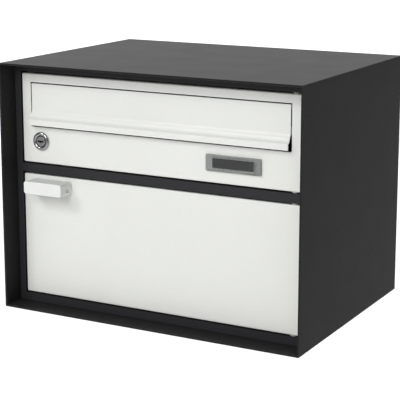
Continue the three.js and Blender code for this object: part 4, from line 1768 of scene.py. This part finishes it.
@dataclass
class Studio:
    """The pale floor, the soft lights and the camera.

    Attributes:
        eye: The camera's place from the middle of the box.
        turn: How far it is turned to its left, in degrees.
        tilt: How far it looks down, in degrees.
        lens: Its focal length, in millimetres.
        rise: Its lens shift.
        sensor: Width of its sensor, in millimetres.
        clip: The nearest and farthest that it sees.
        drop: From the box down to the floor.
        floor: Width of the floor.
        dome: Light from the horizon and from overhead.
        softboxes: The soft lights.
    """

    eye: Point = (0.807, -1.496, 0.369)
    turn: float = 28.53
    tilt: float = 11.72
    lens: float = 121.2
    rise: float = -0.08
    sensor: float = 36.0
    clip: tuple[float, float] = (0.05, 100.0)
    drop: float = 0.9
    floor: float = 120.0
    dome: tuple[float, float] = (0.28, 0.40)
    softboxes: tuple[Softbox, ...] = (
        Softbox("front", (0.15, -2.9, 1.5), (0.0, 0.0, 0.0), (1.4, 1.4), 39.0),
        Softbox("upper_left", (-1.5, -2.6, 2.4), (0.0, 0.0, 0.0), (1.1, 0.7), 34.0),
        Softbox("behind", (-0.05, 2.8, 0.8), (0.0, 0.0, 0.0), (0.9, 0.6), 2.2),
        Softbox("ceiling", (-8.0, 10.5, 5.0), (-8.0, 10.5, 0.0), (19.0, 22.0), 2000.0),
    )

    def build(self) -> None:
        """Sets up the floor, the lights and the camera."""
        low, high = CAD_BOX
        middle = (low + high) / 2
        self.lay_floor(low.z)
        self.hang_lights(middle)
        self.place_camera(middle)
        bpy.context.scene.view_settings.view_transform = "Standard"

    def lay_floor(self, level: float) -> None:
        """Lays a wide pale floor, well below the box.

        Args:
            level: The box's underside.
        """
        bpy.ops.object.select_all(action="DESELECT")
        bpy.ops.mesh.primitive_plane_add(size=self.floor, location=(0, 0, level - self.drop))
        floor = Bench.settle("floor")
        recipe = Recipe("floor_paint")
        paint = recipe.blend(recipe.noise(2.0), (0.93, 0.93, 0.93), (0.96, 0.96, 0.96))
        recipe.set(Base_Color=paint, Roughness=0.95, Specular_IOR_Level=0.0)
        floor.data.materials.append(recipe.material)

    def hang_lights(self, middle: Vector) -> None:
        """Hangs a soft dome, brighter overhead than at the horizon, and the softboxes.

        Args:
            middle: The middle of the box.
        """
        world = bpy.data.worlds.new("room")
        world.use_nodes = True
        tree = world.node_tree
        place = tree.nodes.new("ShaderNodeTexCoord")
        apart = tree.nodes.new("ShaderNodeSeparateXYZ")
        tree.links.new(place.outputs["Generated"], apart.inputs[0])
        ramp = tree.nodes.new("ShaderNodeMapRange")
        tree.links.new(apart.outputs["Z"], ramp.inputs["Value"])
        ramp.inputs["To Min"].default_value, ramp.inputs["To Max"].default_value = self.dome
        back = tree.nodes["Background"]
        back.inputs["Color"].default_value = (1.0, 1.0, 1.0, 1.0)
        tree.links.new(ramp.outputs["Result"], back.inputs["Strength"])
        bpy.context.scene.world = world
        for box in self.softboxes:
            box.hang(middle)

    def place_camera(self, middle: Vector) -> None:
        """Places the camera, to the right of the box and a little above it.

        Args:
            middle: The middle of the box.
        """
        data = bpy.data.cameras.new("camera")
        data.sensor_width, data.lens, data.shift_y = self.sensor, self.lens, self.rise
        data.clip_start, data.clip_end = self.clip
        camera = bpy.data.objects.new("camera", data)
        camera.location = middle + Vector(self.eye)
        camera.rotation_euler = ((90 - self.tilt) * DEGREE, 0, self.turn * DEGREE)
        bpy.context.scene.collection.objects.link(camera)
        bpy.context.scene.camera = camera


def main() -> None:
    """Builds the studio and the mailbox, part by part."""
    logging.basicConfig(level=logging.INFO, format="%(name)s: %(message)s")
    Studio().build()
    Sleeve().build()
    InnerBody().build()
    LetterDoor("letter_door_panel", Body.LETTER_DOOR).build()
    SlotFlap().build()
    CamLock().build()
    NamePlate().build()
    ParcelDoor("parcel_door_panel", Body.PARCEL_DOOR).build()
    PullHandle().build()
    Hinges().build()


if __name__ == "__main__":
    main()
